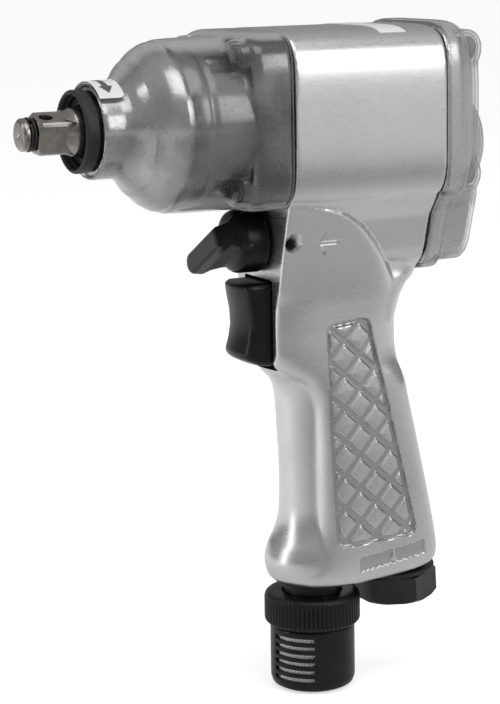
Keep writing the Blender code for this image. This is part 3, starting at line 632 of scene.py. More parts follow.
def rounded_outline(corners, radius):
    """Closed outline through corners, each rounded by a quadratic arc."""
    points = [Vector(c) for c in corners]
    outline = []
    for i, corner in enumerate(points):
        before = (points[i - 1] - corner).normalized() * radius
        after = (points[(i + 1) % len(points)] - corner).normalized() * radius
        outline += arc(corner + before, corner, corner + after, 8)
    return outline


def inside_distance(x, z, outline):
    """Distance from each point to a convex outline's edges, positive inside."""
    best = np.full(np.shape(x), 1e9)
    middle = sum(outline, Vector((0.0, 0.0))) / len(outline)
    for a, b in zip(outline, outline[1:] + outline[:1]):
        edge = b - a
        if edge.length < 1e-6:
            continue
        normal = Vector((-edge.y, edge.x)).normalized()
        if normal.dot(middle - a) < 0:
            normal = -normal
        best = np.minimum(best, (x - a.x) * normal.x + (z - a.y) * normal.y)
    return best


def ramp_step(value, width):
    """Smooth step from 0 to 1 over a width."""
    t = np.clip(value / width + 0.5, 0.0, 1.0)
    return t * t * (3 - 2 * t)


def diamond_height(x, z, edge):
    """Raised pillow-shaped diamonds on a sunken ground: 1 on a diamond, 0 between them."""
    (ax, az), (bx, bz) = DIAMOND_STEPS
    size = ax * bz - az * bx
    u = x - DIAMOND_CENTRE[0]
    v = z - DIAMOND_CENTRE[1]
    a = (u * bz - v * bx) / size
    b = (v * ax - u * az) / size
    wall_a = (0.5 - np.abs(a - np.round(a))) * abs(size) / math.hypot(bx, bz)
    wall_b = (0.5 - np.abs(b - np.round(b))) * abs(size) / math.hypot(ax, az)
    field = np.minimum(np.minimum(wall_a, wall_b) - DIAMOND_INSET, edge - PANEL_BORDER)
    return 0.86 * ramp_step(field, 0.5) + 0.14 * ramp_step(field - 1.0, 2.2)


def drop_height(x, z):
    """Oil drop: a round foot that runs up to a point."""
    u = np.abs(x - DROP_CENTRE[0])
    v = z - DROP_CENTRE[1]
    round_width = np.sqrt(np.maximum(DROP_RADIUS ** 2 - v * v, 0.0))
    point_width = DROP_RADIUS * (1.0 - np.clip(v, 0.0, DROP_POINT) / DROP_POINT)
    width = np.where(v > 0.0, point_width, round_width)
    return ramp_step(np.where(np.abs(v) < DROP_POINT, width - u, -1.0), EDGE_WIDTH)


def arrow_height(x, z):
    """Raised arrow that points towards the nose."""
    u = ARROW_TIP[0] - x
    v = np.abs(z - ARROW_TIP[1])
    shaft = np.where((u > 0.4) & (u < ARROW_LENGTH), 0.55 - v, -1.0)
    head = np.where((u > 0.0) & (u < ARROW_HEAD), 0.6 - np.abs(v - 0.9 * u) * 0.74, -1.0)
    return ramp_step(np.maximum(shaft, head), EDGE_WIDTH)


def side_relief(x, z):
    """Depth below the grip's side of the diamond panel and the plate; below zero on the raised arrow."""
    panel = inside_distance(x, z, rounded_outline(PANEL_CORNERS, 3.4))
    plate = inside_distance(x, z, rounded_outline(PLATE_CORNERS, 0.8))
    depth = ramp_step(panel, EDGE_WIDTH) * (PANEL_DEPTH - DIAMOND_RISE * diamond_height(x, z, panel))
    depth = depth + ramp_step(plate, EDGE_WIDTH) * (PLATE_DEPTH - MARK_RISE * drop_height(x, z))
    return depth - MARK_RISE * arrow_height(x, z)


def neck_ring(z):
    rear, half = at_place(z, NECK_STOPS)
    middle = (NECK_FRONT + rear) / 2
    return [(middle + u, y, z) for u, y in squared_circle(4.0, (NECK_FRONT - rear) / 2, half, 64)]


def build_housing():
    barrel = []
    for x in spread(FRONT_X, REAR_X, 30):
        share = (FRONT_X - x) / (FRONT_X - REAR_X)
        barrel.append(squircle(x, 24.5 + 0.5 * share, 25.2, 5.0))
    parts = [skin("barrel", barrel), skin("lobe", lobe_rings(FRONT_X, REAR_X))]
    parts.append(skin("grip", [grip_ring(z) for z in spread(-19.0, -138.6, 120)]))
    parts.append(skin("bulge", [bulge_ring(z) for z in spread(-66.0, -138.7, 90)]))
    parts.append(skin("neck", [neck_ring(z) for z in spread(-40.0, -60.0, 24)]))
    housing = merge_objects("housing_casting", parts)
    remesh(housing, 0.5, 7)
    relieve(housing)
    cutters = [
        bore("motor_bore", -60, -130, 20.8),
        box("pocket", (-82.6, -8.5, -71.6), (-60.0, 8.5, -45.0), bevel=0.6),
        bore("spool_bore", -60, -104.0, 7.0, z=REVERSE_Z),
        rod("exhaust", (EXHAUST_X, 0, -150), (EXHAUST_X, 0, -126), 7.6),
        rod("inlet", INLET_FOOT + 6 * INLET, INLET_FOOT - 8 * INLET, 9.3),
        rod("inlet_end", INLET_FOOT - 7 * INLET, INLET_FOOT - 12 * INLET, 7.8),
        bore("rod_hole", -80.0, -96.0, 3.3, z=TRIGGER_Z),
        rod("detent", (DETENT_X, 6.0, REVERSE_Z), (DETENT_X, 18.0, REVERSE_Z), 1.75),
        rod("detent_sink", (DETENT_X, 14.9, REVERSE_Z), (DETENT_X, 17.5, REVERSE_Z), 1.5, 3.6),
    ]
    cut(housing, *cutters)
    show(housing, ALUMINIUM, "root", "cast_aluminium", "motor_housing", angle=50.0)
    return housing


def relieve(housing):
    """Refine the grip's sides, press the panels into them and mark their sunken ground for painted shade.
    """
    shape = bmesh.new()
    shape.from_mesh(housing.data)
    # Painted shade mask: towards 1 on the panels' sunken ground, where the casting's colour is darkened.
    ground = shape.verts.layers.float.new("ground")
    for _ in range(2):
        chosen = set()
        for edge in shape.edges:
            middle = (edge.verts[0].co + edge.verts[1].co) / (2 * MM)
            inside = any(a < middle.x < b and c < middle.z < d for a, b, c, d in REFINED)
            if inside and abs(middle.y) > SIDE_Y and edge.calc_length() > 0.26 * MM:
                chosen.add(edge)
        bmesh.ops.subdivide_edges(shape, edges=list(chosen), cuts=1, use_grid_fill=True)
    shape.normal_update()
    verts = [v for v in shape.verts if abs(v.co.y) > SIDE_Y * MM and -135.5 < v.co.z / MM < -29.0]
    x = np.array([v.co.x / MM for v in verts])
    z = np.array([v.co.z / MM for v in verts])
    depth = side_relief(x, z)
    for vert, amount in zip(verts, depth):
        if amount:
            vert.co.y -= math.copysign(amount * MM, vert.co.y)
            vert[ground] = min(max((amount - 0.25) / 0.3, 0.0), 1.0)
    bmesh.ops.triangulate(shape, faces=[f for f in shape.faces if len(f.verts) > 4])
    shape.to_mesh(housing.data)
    shape.free()


# ---------------- nose

# Outside of the clear nose cover as (place along X, radius)
COVER_PROFILE = [
    (-19.6, 12.5), (-19.6, 13.3), (-20.0, 13.5), (-26.6, 13.5), (-28.4, 14.2), (-30.2, 15.8),
    (-32.6, 18.9), (-33.3, 19.5), (-33.9, 19.6), (-34.4, 20.3), (-36.2, 22.0), (-38.6, 23.4),
    (-41.6, 24.2), (-46.0, 24.45), (-62.0, 24.6),
]
FLANGE_X = (-59.6, -71.7)
COVER_THICKNESS = 0.9
CASE_SHRINK = 1.15
CASE_GROOVES = [(-33.0, 0.7, 0.5), (-42.6, 1.2, 0.5), (-48.2, 0.9, 0.4)]
COVER_GROOVES = [(-31.6, 0.7, 0.35), (-40.4, 0.7, 0.25)]
PAD_RADIUS = 5.1


def cover_radius(x):
    return eased(x, COVER_PROFILE[2:])


def nose_form(shrink, voxel, passes):
    """Round nose that runs into a square flange with a pad in front of each screw."""
    profile = [(COVER_PROFILE[0][0] - shrink, 0.0)]
    profile += [(x - 0.6 * shrink, r - shrink) for x, r in COVER_PROFILE]
    profile.append((-62.0, 0.0))
    parts = [turned("nose_round", profile, segments=160)]
    front, back = FLANGE_X
    flange = []
    for x, step in ((front - 0.4 * shrink, 1.6), (front - 1.4, 0.4), (front - 3.0, 0.0), (back, 0.0)):
        flange.append(squircle(x, 24.9 - step - shrink, 25.05 - step - shrink, 6.0))
    parts.append(skin("nose_flange", flange))
    end = -55.6 - shrink
    radius = PAD_RADIUS - shrink
    pad = rounded([(-66.0, 0.0), (-66.0, radius + 0.6), (end, radius), (end, 0.0)], 1.8)
    for y, z in bolt_places():
        parts.append(turned("pad", pad, at=(0.0, y, z), segments=48))
    form = merge_objects("nose_form", parts)
    return remesh(form, voxel, passes)


def build_nose():
    case = nose_form(CASE_SHRINK, 0.6, 6)
    cutters = [
        bore("bore", -10, -40, 10.0),
        bore("cavity", -41.8, -80, 20.9),
    ]
    for y, z in bolt_places():
        cutters.append(bore("shank", -50.0, -80.0, 2.2, y, z))
        cutters.append(bore("seat", -50.0, -61.5, 3.9, y, z))
    groove(case, CASE_SHRINK, CASE_GROOVES)
    cut(case, *cutters)
    case.name = "case_casting"
    show(case, CASE_METAL, "root", "cast_aluminium", "hammer_case")

    cover = nose_form(0.0, 0.5, 7)
    groove(cover, 0.0, COVER_GROOVES)
    open_shell(cover, (-72.1, -1), (-19.75, 1))
    cover.name = "front_cover_clear"
    show(cover, VINYL, "root", "clear_vinyl", "front_protector", angle=70.0)

    bumper = rounded([(-15.9, 10.2), (-15.4, 10.6), (-15.4, 10.9), (-15.9, 11.5), (-19.3, 11.5),
                      (-19.3, 9.9), (-17.6, 9.9), (-17.6, 10.2), (-15.9, 10.2)], 0.25)
    show(turned("bumper_ring", bumper, closed=True), RUBBER, "root", "rubber", "nose_bumper")
    bushing = rounded([(-18.4, 7.4), (-18.4, 9.4), (-18.9, 9.8), (-37.6, 9.8), (-37.6, 7.4),
                       (-18.4, 7.4)], 0.2)
    show(turned("bushing_sleeve", bushing, closed=True), OXIDE, "root", "bronze", "anvil_bushing")


def groove(form, shrink, grooves):
    """Shallow turned grooves round the nose, each (place along X, half width, depth)."""
    for vert in form.data.vertices:
        x = vert.co.x / MM
        reach = math.hypot(vert.co.y, vert.co.z) / MM
        if x > -20.0 or abs(reach - (cover_radius(x) - shrink)) > 0.5:
            continue
        dip = sum(depth * math.exp(-((x - place) / half) ** 2) for place, half, depth in grooves)
        vert.co.y *= 1.0 - dip / reach
        vert.co.z *= 1.0 - dip / reach


def open_shell(form, *planes):
    """Cut a solid form open past each (place, direction) along X and keep its skin, thickened inwards."""
    shape = bmesh.new()
    shape.from_mesh(form.data)
    for x, way in planes:
        everything = list(shape.verts) + list(shape.edges) + list(shape.faces)
        bmesh.ops.bisect_plane(shape, geom=everything, plane_co=(x * MM, 0, 0),
                               plane_no=(way, 0, 0), clear_outer=True)
    shape.to_mesh(form.data)
    shape.free()
    step = form.modifiers.new("skin", "SOLIDIFY")
    step.thickness = COVER_THICKNESS * MM
    step.offset = -1.0
    settle(form)


def bolt_places():
    corners = ((1, 1), (-1, 1), (-1, -1), (1, -1))
    return [(side * BOLT_Y, CENTRE_Z + height * BOLT_Z) for side, height in corners]


def build_bolts():
    """Socket screws: each row has the place of its head, the way it faces and its shank's length."""
    head_profile = [(0.0, 1.9), (0.0, 3.2), (0.25, 3.4), (3.5, 3.4), (4.0, 3.0), (4.0, 0.0)]
    for number, (y, z) in enumerate(bolt_places(), start=1):
        for name, head, way, shank in (("case", -61.3, 1.0, 22.0), ("rear", -130.2, -1.0, 24.0)):
            profile = [(-shank, 0.0), (-shank, 1.9)] + head_profile
            bolt = turned(f"{name}_screw_{number}", profile, (way, 0, 0), (head, y, z), segments=48)
            socket = rod("socket", (head + 1.6 * way, y, z), (head + 5.0 * way, y, z), 1.8, segments=6)
            cut(bolt, socket)
            show(bolt, OXIDE, "root", "black_steel", f"{name}_bolt_{number}")


# ---------------- drive

def build_drive():
    """Square drive with its cross hole, and behind it the shaft with the two lobes that are struck."""
    shaft = rounded([(0.0, 1.1), (0.0, 3.7), (-0.75, 4.55), (-2.1, 4.55), (-2.1, 3.6), (-4.2, 3.6),
                     (-4.2, 4.7), (-12.0, 4.75), (-13.4, 5.6), (-15.0, 6.7), (-17.0, 7.0),
                     (-40.0, 7.0)], 0.35)
    drive = turned("drive_shaft", [(-1.1, 0.0)] + shaft + [(-40.0, 0.0)])
    half = SQUARE / 2
    square = box("square", (-15.5, -half, -half), (-4.2, half, half), turn=-ROLL)
    join(drive, square)
    trim = [(-3.0, 4.75), (-4.4, 5.3), (-5.3, 6.15), (-12.4, 6.15), (-14.6, 7.2), (-14.6, 9.0),
            (-3.0, 9.0)]
    cut(drive, turned("trim", trim, closed=True))
    up = Vector((0.0, math.sin(ROLL), math.cos(ROLL)))
    middle = Vector((-7.6, 0.0, 0.0))
    cut(drive, rod("cross_hole", middle - 8 * up, middle + 8 * up, 1.95, segments=48))
    bevel(drive, 0.22, 3, 24.0)
    width = math.radians(36.0)
    front = sector("front_lobe", -43.6, -52.1, 5.0, 9.0, math.radians(-34.0), width)
    rear = sector("rear_lobe", -53.0, -61.5, 5.0, 9.0, math.radians(146.0), width)
    core = bore("core", -39.0, -61.7, 6.6)
    join(drive, core, front, rear)
    show(drive, STEEL, "drive", "steel", "anvil", angle=35.0)

    ring = rounded([(-2.25, 3.85), (-2.25, 4.6), (-2.45, 4.75), (-2.85, 4.75), (-3.0, 4.6), (-3.0, 3.85),
                    (-2.25, 3.85)], 0.12)
    clip = turned("friction_ring", ring, closed=True)
    cut(clip, box("gap", (-3.5, 2.0, -0.7), (-2.0, 6.0, 0.7), turn=math.radians(50.0)))
    show(clip, OXIDE, "drive", "steel", "retainer_ring")
    bead = [(-3.6 + 0.42 * math.cos(a), 4.22 + 0.42 * math.sin(a)) for a in spread(0.0, TAU * 15 / 16, 16)]
    show(turned("rubber_bead", bead, closed=True), RUBBER, "drive", "rubber", "retainer_o_ring")


def sector(name, start, end, inner, outer, middle, width):
    """Part of a ring between two places on X, about a middle angle."""
    angles = spread(middle - width / 2, middle + width / 2, 13)
    outline = [(inner * math.cos(a), inner * math.sin(a)) for a in angles]
    outline += [(outer * math.cos(a), outer * math.sin(a)) for a in reversed(angles)]
    return skin(name, [[(start, y, z) for y, z in outline], [(end, y, z) for y, z in outline]])


# ---------------- rear

def rear_form(grow):
    """Outside of the rear cover grown evenly, as overlapping closed shapes."""
    start = -122.0
    # Place along X, inset and squareness of the body's slices
    steps = [(start, 0.0, 5.6), (-126.4 - grow, 0.0, 5.6), (-127.4 - grow, 1.2, 5.4),
             (-128.4 - grow, 2.2, 5.2), (-131.8 - grow, 3.0, 5.0), (-133.2 - grow, 4.4, 4.6)]
    body = skin("body", [squircle(x, 23.9 - s + grow, 24.9 - s + grow, p) for x, s, p in steps])
    dome = [(-130.0, 0), (-130.0, 14.4 + grow), (-137.0 - grow, 14.0 + grow), (-140.6 - grow, 11.4 + grow),
            (-141.4 - grow, 7.0 + grow), (-141.4 - grow, 0.0)]
    dome = turned("dome", rounded(dome, 3.0), at=(0.0, 0.0, DOME_Z))
    keel = skin("keel", lobe_rings(start, -126.6 - grow, grow - 0.8))
    step = skin("keel_step", lobe_rings(start - 2, -136.6 - grow, grow - 2.4))
    slope_keel(step)
    return [body, dome, keel, step]


def slope_keel(step):
    """Let the keel's back rise from the rear face, so that it has no ledge on top."""
    rear_face = -131.0
    for vert in step.data.vertices:
        slope = min(max((vert.co.z / MM + 12.0) / -14.0, 0.0), 1.0)
        back = vert.co.x / MM - rear_face
        if back < 0.0:
            vert.co.x = (rear_face + back * slope) * MM


def build_rear():
    cover = merge_objects("rear_casting", rear_form(0.0))
    remesh(cover, 0.5, 5)
    cutters = [bore("regulator_bore", -130.0, -146.0, 5.3, z=REGULATOR_Z)]
    for y, z in bolt_places():
        cutters.append(bore("seat", -130.0, -150.0, 4.0, y, z))
        cutters.append(bore("shank", -110.0, -137.0, 2.2, y, z))
    cutters.append(bore("hollow", -110.0, -129.0, 19.6))
    cut(cover, *cutters)
    show(cover, ALUMINIUM, "root", "cast_aluminium", "rear_cover")

    solids = rear_form(1.35)
    pad = rounded([(-124.0, 0), (-124.0, 6.2), (-134.6, 5.4), (-136.0, 3.4), (-136.0, 0.0)], 1.5)
    for y, z in bolt_places():
        solids.append(turned("pad", pad, at=(0.0, y, z)))
    plug = rounded([(-124.0, 0), (-124.0, 8.4), (-136.8, 7.4), (-138.6, 5.0), (-138.6, 0.0)], 2.0)
    solids.append(turned("plug", plug, at=(0.0, 0.0, REGULATOR_Z)))
    boot = merge_objects("boot_clear", solids)
    remesh(boot, 0.55, 24)
    open_shell(boot, (-122.3, 1))
    show(boot, SMOKY_VINYL, "root", "clear_vinyl", "rear_protector", angle=70.0)


def build_regulator():
    profile = rounded([(-131.4, 0.0), (-131.4, 5.0), (-137.5, 5.0), (-137.5, 0.0)], 0.5)
    screw = turned("regulator_screw", profile, at=(0, 0, REGULATOR_Z))
    cut(screw, box("slot", (-139.0, -6.0, REGULATOR_Z - 0.6), (-136.3, 6.0, REGULATOR_Z + 0.6)))
    show(screw, OXIDE, "regulator", "black_steel", "power_regulator")


# ---------------- controls

def wing_ring(x, back, reach, half, tip):
    """Slice of the knob's wing at a place along X: a bar with a round tip."""
    along = Vector((0.0, math.cos(WING_ANGLE), math.sin(WING_ANGLE)))
    across = Vector((0.0, -along.z, along.y))
    centre = Vector((x, 0.0, REVERSE_Z))
    points = []
    for degrees in spread(-90.0, 90.0, 13):
        angle = math.radians(degrees)
        out = reach - tip + tip * math.cos(angle)
        points.append(centre + out * along + half * math.sin(angle) * across)
    for side in (half, -half):
        points.append(centre - back * along + side * across)
    return points


def build_lever():
    profile = [(-62.4, 0.0), (-62.5, 6.0), (-63.2, 8.2), (-64.6, 9.15), (-72.0, 9.3), (-72.0, 0.0)]
    base = turned("reverse_knob", rounded(profile, 1.0), at=(0.0, 0.0, REVERSE_Z))
    # Place along X, back, reach, half width and tip radius of the wing
    slices = [(-56.8, 4.2, 17.2, 2.6, 2.4), (-57.4, 5.0, 17.9, 3.1, 2.8), (-60.2, 6.4, 18.4, 3.4, 3.0),
              (-60.9, 6.8, 17.6, 3.6, 3.0), (-61.4, 7.2, 14.0, 4.2, 3.4), (-62.6, 7.6, 11.0, 5.0, 4.0),
              (-66.0, 8.0, 8.6, 5.6, 4.2)]
    wing = skin("wing", [wing_ring(*values) for values in slices])
    knob = merge_objects("reverse_knob", [base, wing])
    remesh(knob, 0.32, 5)
    cut(knob, bore("spigot", -66.6, -75.0, 3.3, z=REVERSE_Z))
    show(knob, PLASTIC, "reverse", "black_plastic", "reverse_lever", angle=55.0)


def trigger_outline():
    """Side view of the trigger, with its finger side eased and its straight back left as it is."""
    corners = [(-63.6, -46.4), (-64.8, -45.7), (-75.4, -45.7), (-75.4, -70.6), (-67.4, -69.7),
               (-64.2, -68.0), (-63.4, -66.6), (-64.6, -63.0), (-65.3, -59.0), (-65.1, -54.6),
               (-64.2, -50.0)]
    points = [Vector(corner) for corner in corners]
    eased_points = []
    for i, point in enumerate(points):
        middle = (points[i - 1] + points[(i + 1) % len(points)]) / 2
        on_back = 2 <= i <= 3
        eased_points.append(point if on_back else point.lerp(middle, 0.12))
    return eased_points


def build_trigger():
    edge_radius = 1.8
    middle = Vector((-70.0, TRIGGER_Z))
    outline = trigger_outline()
    rings = []
    for degrees in spread(-90.0, 90.0, 33):
        y = TRIGGER_HALF * math.sin(math.radians(degrees))
        depth = min((TRIGGER_HALF - abs(y)) / edge_radius, 1.0)
        inset = edge_radius * (1.0 - math.sqrt(max(0.0, 1.0 - (1.0 - depth) ** 2)))
        crown = 1.4 * (y / TRIGGER_HALF) ** 2
        ring = []
        for x, z in outline:
            if x > -74.0:
                x -= crown
            reach = Vector((x, z)) - middle
            spot = middle + reach * (1.0 - inset / max(reach.length, 1.0))
            ring.append((spot.x, y, spot.y))
        rings.append(ring)
    trigger = skin("trigger_blade", rings)
    bevel(trigger, 0.8, 4, 28.0)
    cut(trigger, bore("socket", -69.0, -80.0, 2.2, z=TRIGGER_Z))
    show(trigger, PLASTIC, "trigger", "black_plastic", "trigger", angle=45.0)


# ---------------- foot

def build_inlet():
    foot = INLET_FOOT
    radius = 22.0 / math.sqrt(3.0)
    hexagon = rod("inlet_hexagon", foot + 2.2 * INLET, foot + 10.2 * INLET, radius, segments=6,
                  turn=math.radians(30.0))
    chamfers = [(1.0, 0.0), (1.0, 12.0), (3.2, 13.0), (8.9, 13.0), (10.2, 11.3), (12.0, 11.0), (12.0, 0.0)]
    combine(hexagon, "INTERSECT", [turned("chamfers", chamfers, INLET, foot)])
    join(hexagon, rod("thread", foot + 3.0 * INLET, foot - 7.8 * INLET, 8.8))
    join(hexagon, rod("thread_end", foot - 7.0 * INLET, foot - 13.0 * INLET, 7.4))
    cut(hexagon, rod("bore", foot + 12.0 * INLET, foot - 15.0 * INLET, 6.0))
    bevel(hexagon, 0.3, 3, 25.0)
    show(hexagon, OXIDE, "root", "black_steel", "inlet_bushing", angle=30.0)
    profile = rounded([(0.55, 9.2), (0.55, 12.2), (1.85, 12.2), (1.85, 9.2), (0.55, 9.2)], 0.3)
    washer = turned("inlet_seal", profile, -INLET, foot + 2.4 * INLET, closed=True)
    show(washer, RUBBER, "root", "black_steel", "inlet_washer")


FLUTES = 66

# Height, radius and flute depth of the silencer's collar, down its outside and up its bore
COLLAR_STOPS = [
    (-143.0, 9.2, 0.0), (-141.25, 9.2, 0.0), (-141.25, 10.6, 0.0), (-141.25, 12.4, 0.0),
    (-141.5, 13.5, 0.0), (-142.1, 14.1, 0.0), (-142.9, 14.4, 0.25), (-143.4, 14.4, 0.42),
    (-149.6, 14.4, 0.42), (-150.1, 14.2, 0.30), (-150.9, 13.4, 0.0), (-151.1, 12.9, 0.0),
    (-151.1, 9.9, 0.0), (-147.5, 9.9, 0.0), (-147.5, 9.2, 0.0), (-143.0, 9.2, 0.0),
]
WINDOW_ROWS = 6
WINDOW_STEP = 2.45
WINDOW_MIDDLE = math.radians(32.0)
WIRES = 60
WIRE_PITCH = 5.6


def round_exhaust(radius, angle, z):
    return (EXHAUST_X + radius * math.cos(angle), radius * math.sin(angle), z)


def fluted_ring(z, radius, depth):
    count = FLUTES * 8
    points = []
    for i in range(count):
        angle = TAU * i / count
        wave = 0.5 - 0.5 * math.cos(angle * FLUTES)
        points.append(round_exhaust(radius - depth * wave ** 2, angle, z))
    return points


def build_exhaust_neck():
    profile = rounded([(-124.0, 5.4), (-124.0, 7.1), (-137.4, 7.1), (-137.4, 8.6), (-148.0, 8.6),
                       (-148.0, 9.4), (-149.4, 9.4), (-149.4, 5.4), (-124.0, 5.4)], 0.2)
    neck = turned("exhaust_neck", profile, (0, 0, 1), (EXHAUST_X, 0.0, 0.0), closed=True)
    show(neck, PLASTIC, "root", "black_plastic", "exhaust_adapter")


def build_collar():
    rings = [fluted_ring(*stop) for stop in COLLAR_STOPS]
    collar = skin("silencer_nut", rings, caps=False, merge=MERGE)
    show(collar, PLASTIC, "silencer", "black_plastic", "silencer_collar", angle=50.0)


def build_sleeve():
    """Cup with a row of slots on one side."""
    profile = rounded([(-168.6, 0.0), (-168.6, 11.75), (-151.4, 11.75), (-151.4, 12.55), (-152.0, 12.7),
                       (-167.6, 12.7), (-169.4, 12.1), (-170.3, 10.4), (-170.3, 0.0)], 0.5)
    body = turned("silencer_cup", profile, (0, 0, 1), (EXHAUST_X, 0.0, 0.0), segments=128)
    angles = [WINDOW_MIDDLE + math.radians(a) for a in spread(-32.0, 32.0, 17)]
    corners = [(9.0, angle) for angle in angles] + [(15.5, angle) for angle in reversed(angles)]
    windows = []
    for i in range(WINDOW_ROWS):
        z = -153.9 - WINDOW_STEP * i
        edges = (z - 0.62, z + 0.62)
        rings = [[round_exhaust(radius, angle, edge) for radius, angle in corners] for edge in edges]
        windows.append(skin("window", rings))
    cut(body, *windows)
    bevel(body, 0.12, 2, 50.0)
    show(body, PLASTIC, "silencer", "black_plastic", "silencer_sleeve", angle=40.0)


def build_mesh():
    """Woven wire behind the slots, as crossing ridges on a thin tube."""
    angles = [TAU * i / 360 for i in range(360)]
    rows = []
    for z in spread(-151.9, -168.1, 150):
        row = []
        for angle in angles:
            ridge = max(math.sin(WIRES * angle + z * WIRE_PITCH), math.sin(WIRES * angle - z * WIRE_PITCH))
            row.append(round_exhaust(11.35 + 0.22 * ridge, angle, z))
        rows.append(row)
    inner = [[round_exhaust(10.9, angle, z) for angle in angles] for z in (-168.1, -151.9)]
    screen = skin("silencer_screen", rows + inner + [rows[0]], caps=False, merge=MERGE)
    show(screen, WIRE, "silencer", "steel", "silencer_mesh", angle=80.0)


# ---------------- labels and marks

def patch(name, rings, thickness=0.12):
    """Thin sheet through rows of points, thickened outwards."""
    item = skin(name, rings, caps=False, wrap=False)
    step = item.modifiers.new("skin", "SOLIDIFY")
    step.thickness = thickness * MM
    step.offset = 0.0
    return settle(item)


def on_nose(x, angle, lift):
    radius = cover_radius(x) + lift
    return (x, radius * math.cos(angle), radius * math.sin(angle))


# Places along X and near ends, in degrees round from the left side, of the two labels
NOSE_LABEL_X = (-20.2, -27.6)
NOSE_LABEL_END = 44.0
NOSE_ARROW_X = -23.6
TOP_LABEL_X = (-102.0, -110.5)
TOP_LABEL_END = 50.0
LABEL_LIFT = 0.10


def on_barrel(surface, x, angle, lift):
    """Point just clear of the outside of the housing, at a place along X."""
    way = Vector((0.0, math.cos(angle), math.sin(angle)))
    start = Vector((x, 0.0, CENTRE_Z)) * MM + way * 60 * MM
    hit = surface.ray_cast(start, -way)[0]
    return tuple(hit / MM + way * lift)


def build_nose_label():
    """Blank white band with one rounded corner, and a plain arrow for the forward turn."""
    rows = []
    for k, x in enumerate(spread(NOSE_LABEL_X[0], NOSE_LABEL_X[1], 25)):
        corner = 48.0 * max(0.0, k / 24 - 0.75) ** 2
        angles = spread(NOSE_LABEL_END + corner, 138.0, 60)
        rows.append([on_nose(x, math.radians(a), LABEL_LIFT) for a in angles])
    show(patch("nose_label", rows), LABEL, "root", "cast_aluminium")

    rows = []
    for angle in spread(100.0, 52.0, 41):
        past_shaft = (66.0 - angle) / 14.0
        half = 0.85 if past_shaft < 0 else 2.1 * (1.0 - past_shaft)
        sides = [NOSE_ARROW_X + side * half for side in spread(1, -1, 5)]
        rows.append([on_nose(x, math.radians(angle), 0.22) for x in sides])
    show(patch("nose_label_arrow", rows, thickness=0.06), INK, "root", "cast_aluminium")


def build_top_label(housing):
    """Blank white band across the top of the barrel."""
    surface = BVHTree.FromObject(housing, bpy.context.evaluated_depsgraph_get())
    angles = [math.radians(a) for a in spread(TOP_LABEL_END, 180.0 - TOP_LABEL_END, 70)]
    rows = []
    for x in spread(TOP_LABEL_X[0], TOP_LABEL_X[1], 13):
        rows.append([on_barrel(surface, x, angle, LABEL_LIFT) for angle in angles])
    show(patch("top_label", rows), LABEL, "root", "cast_aluminium")


# ---------------- studio

# Soft boxes: yaw and rise in degrees, distance, width and height in metres, power in watts
LIGHTS = {
    "overhead": (-15.0, 68.0, 0.9, 0.8, 0.6, 2.6),
    "right_box": (-58.0, 24.0, 0.95, 0.45, 0.5, 2.1),
    "left_strip": (78.0, 12.0, 0.8, 0.16, 0.9, 1.3),
}
LIT_POINT = Vector((CAMERA_TARGET[0], 0.0, -50.0)) * MM


def build_world():
    """Soft grey room, brighter overhead, behind a plain white surround."""
    world = bpy.data.worlds.new("studio")
    world.use_nodes = True
    tree = world.node_tree
    room = tree.nodes["Background"]
    place = add(tree, "ShaderNodeTexCoord").outputs["Generated"]
    up = add(tree, "ShaderNodeSeparateXYZ", place).outputs["Z"]
    fill(tree, room.inputs["Color"], ramp(tree, up, 0.20, 0.46, 0.0, 0.8))
    surround = add(tree, "ShaderNodeBackground", Strength=0.98)
    seen = add(tree, "ShaderNodeLightPath").outputs["Is Camera Ray"]
    mix = add(tree, "ShaderNodeMixShader", seen, room.outputs[0], surround.outputs[0])
    fill(tree, tree.nodes["World Output"].inputs["Surface"], mix.outputs[0])
    bpy.context.scene.world = world


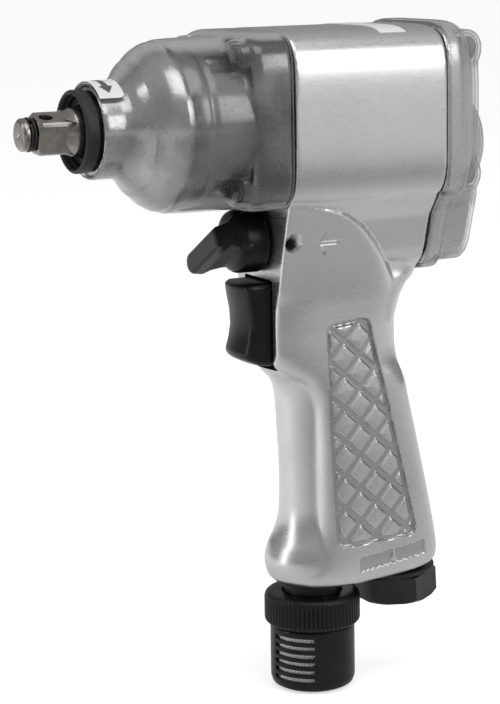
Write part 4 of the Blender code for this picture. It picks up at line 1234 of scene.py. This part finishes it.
def build_floor():
    """Plain pale floor; what the metal mirrors of it is darker near the tool than far from it."""
    floor_z = CAD_BOX[0][2] / MM - 0.3
    reach = 40000.0
    rows = [[(x, y, floor_z) for x in (-reach, reach)] for y in (-reach, reach)]
    floor = skin("studio_floor", rows, caps=False, wrap=False)
    material, tree = new_material("studio_floor_look", Roughness=0.9, Specular_IOR_Level=0.1,
                                  Emission_Strength=1.0)
    place = add(tree, "ShaderNodeTexCoord").outputs["Object"]
    darkest = (-0.12, 0.62, floor_z * MM)
    distance = add(tree, "ShaderNodeVectorMath", place, darkest, operation="DISTANCE").outputs["Value"]
    seen = add(tree, "ShaderNodeLightPath").outputs["Is Camera Ray"]
    base = ramp(tree, distance, 0.30, 0.90, 0.34, 0.86)
    glow = ramp(tree, distance, 0.03, 0.34, 0.34, 0.86)
    feed(tree, Base_Color=mixed(tree, "MIX", seen, base, (0.88, 0.88, 0.88, 1.0)),
         Emission_Color=mixed(tree, "MIX", seen, glow, (0.60, 0.60, 0.60, 1.0)))
    floor.data.materials.append(material)


def build_studio():
    build_world()
    build_floor()
    bpy.context.scene.view_settings.view_transform = "Standard"
    for name, values in LIGHTS.items():
        add_light(name, *values)


def heading(yaw, rise):
    """Direction out from the tool at a yaw from +Y towards +X and a rise above the floor."""
    return Vector((math.sin(yaw) * math.cos(rise), math.cos(yaw) * math.cos(rise), math.sin(rise)))


def add_light(name, yaw, rise, distance, width, height, power):
    """Soft box at a yaw from the camera's direction (positive to the camera's left)."""
    data = bpy.data.lights.new(name, "AREA")
    data.shape = "RECTANGLE"
    data.size = width
    data.size_y = height
    data.energy = power
    light = new_piece(name, data)
    back = heading(CAMERA_YAW + math.radians(yaw), math.radians(rise))
    light.location = LIT_POINT + back * distance
    light.rotation_euler = (-back).to_track_quat("-Z", "Y").to_euler()


def build_camera():
    back = heading(CAMERA_YAW, CAMERA_RISE)
    data = bpy.data.cameras.new("camera")
    data.lens = CAMERA_LENS
    data.clip_end = 200.0
    camera = new_piece("camera", data)
    turn = (-back).to_track_quat("-Z", "Y").to_matrix().to_4x4() @ Matrix.Rotation(CAMERA_ROLL, 4, "Z")
    camera.matrix_world = Matrix.Translation((Vector(CAMERA_TARGET) + back * CAMERA_DISTANCE) * MM) @ turn
    bpy.context.scene.camera = camera


build_camera()
build_studio()
dress_frame()
housing = build_housing()
build_nose()
build_bolts()
build_drive()
build_rear()
build_regulator()
build_lever()
build_trigger()
build_inlet()
build_exhaust_neck()
build_collar()
build_sleeve()
build_mesh()
build_nose_label()
build_top_label(housing)
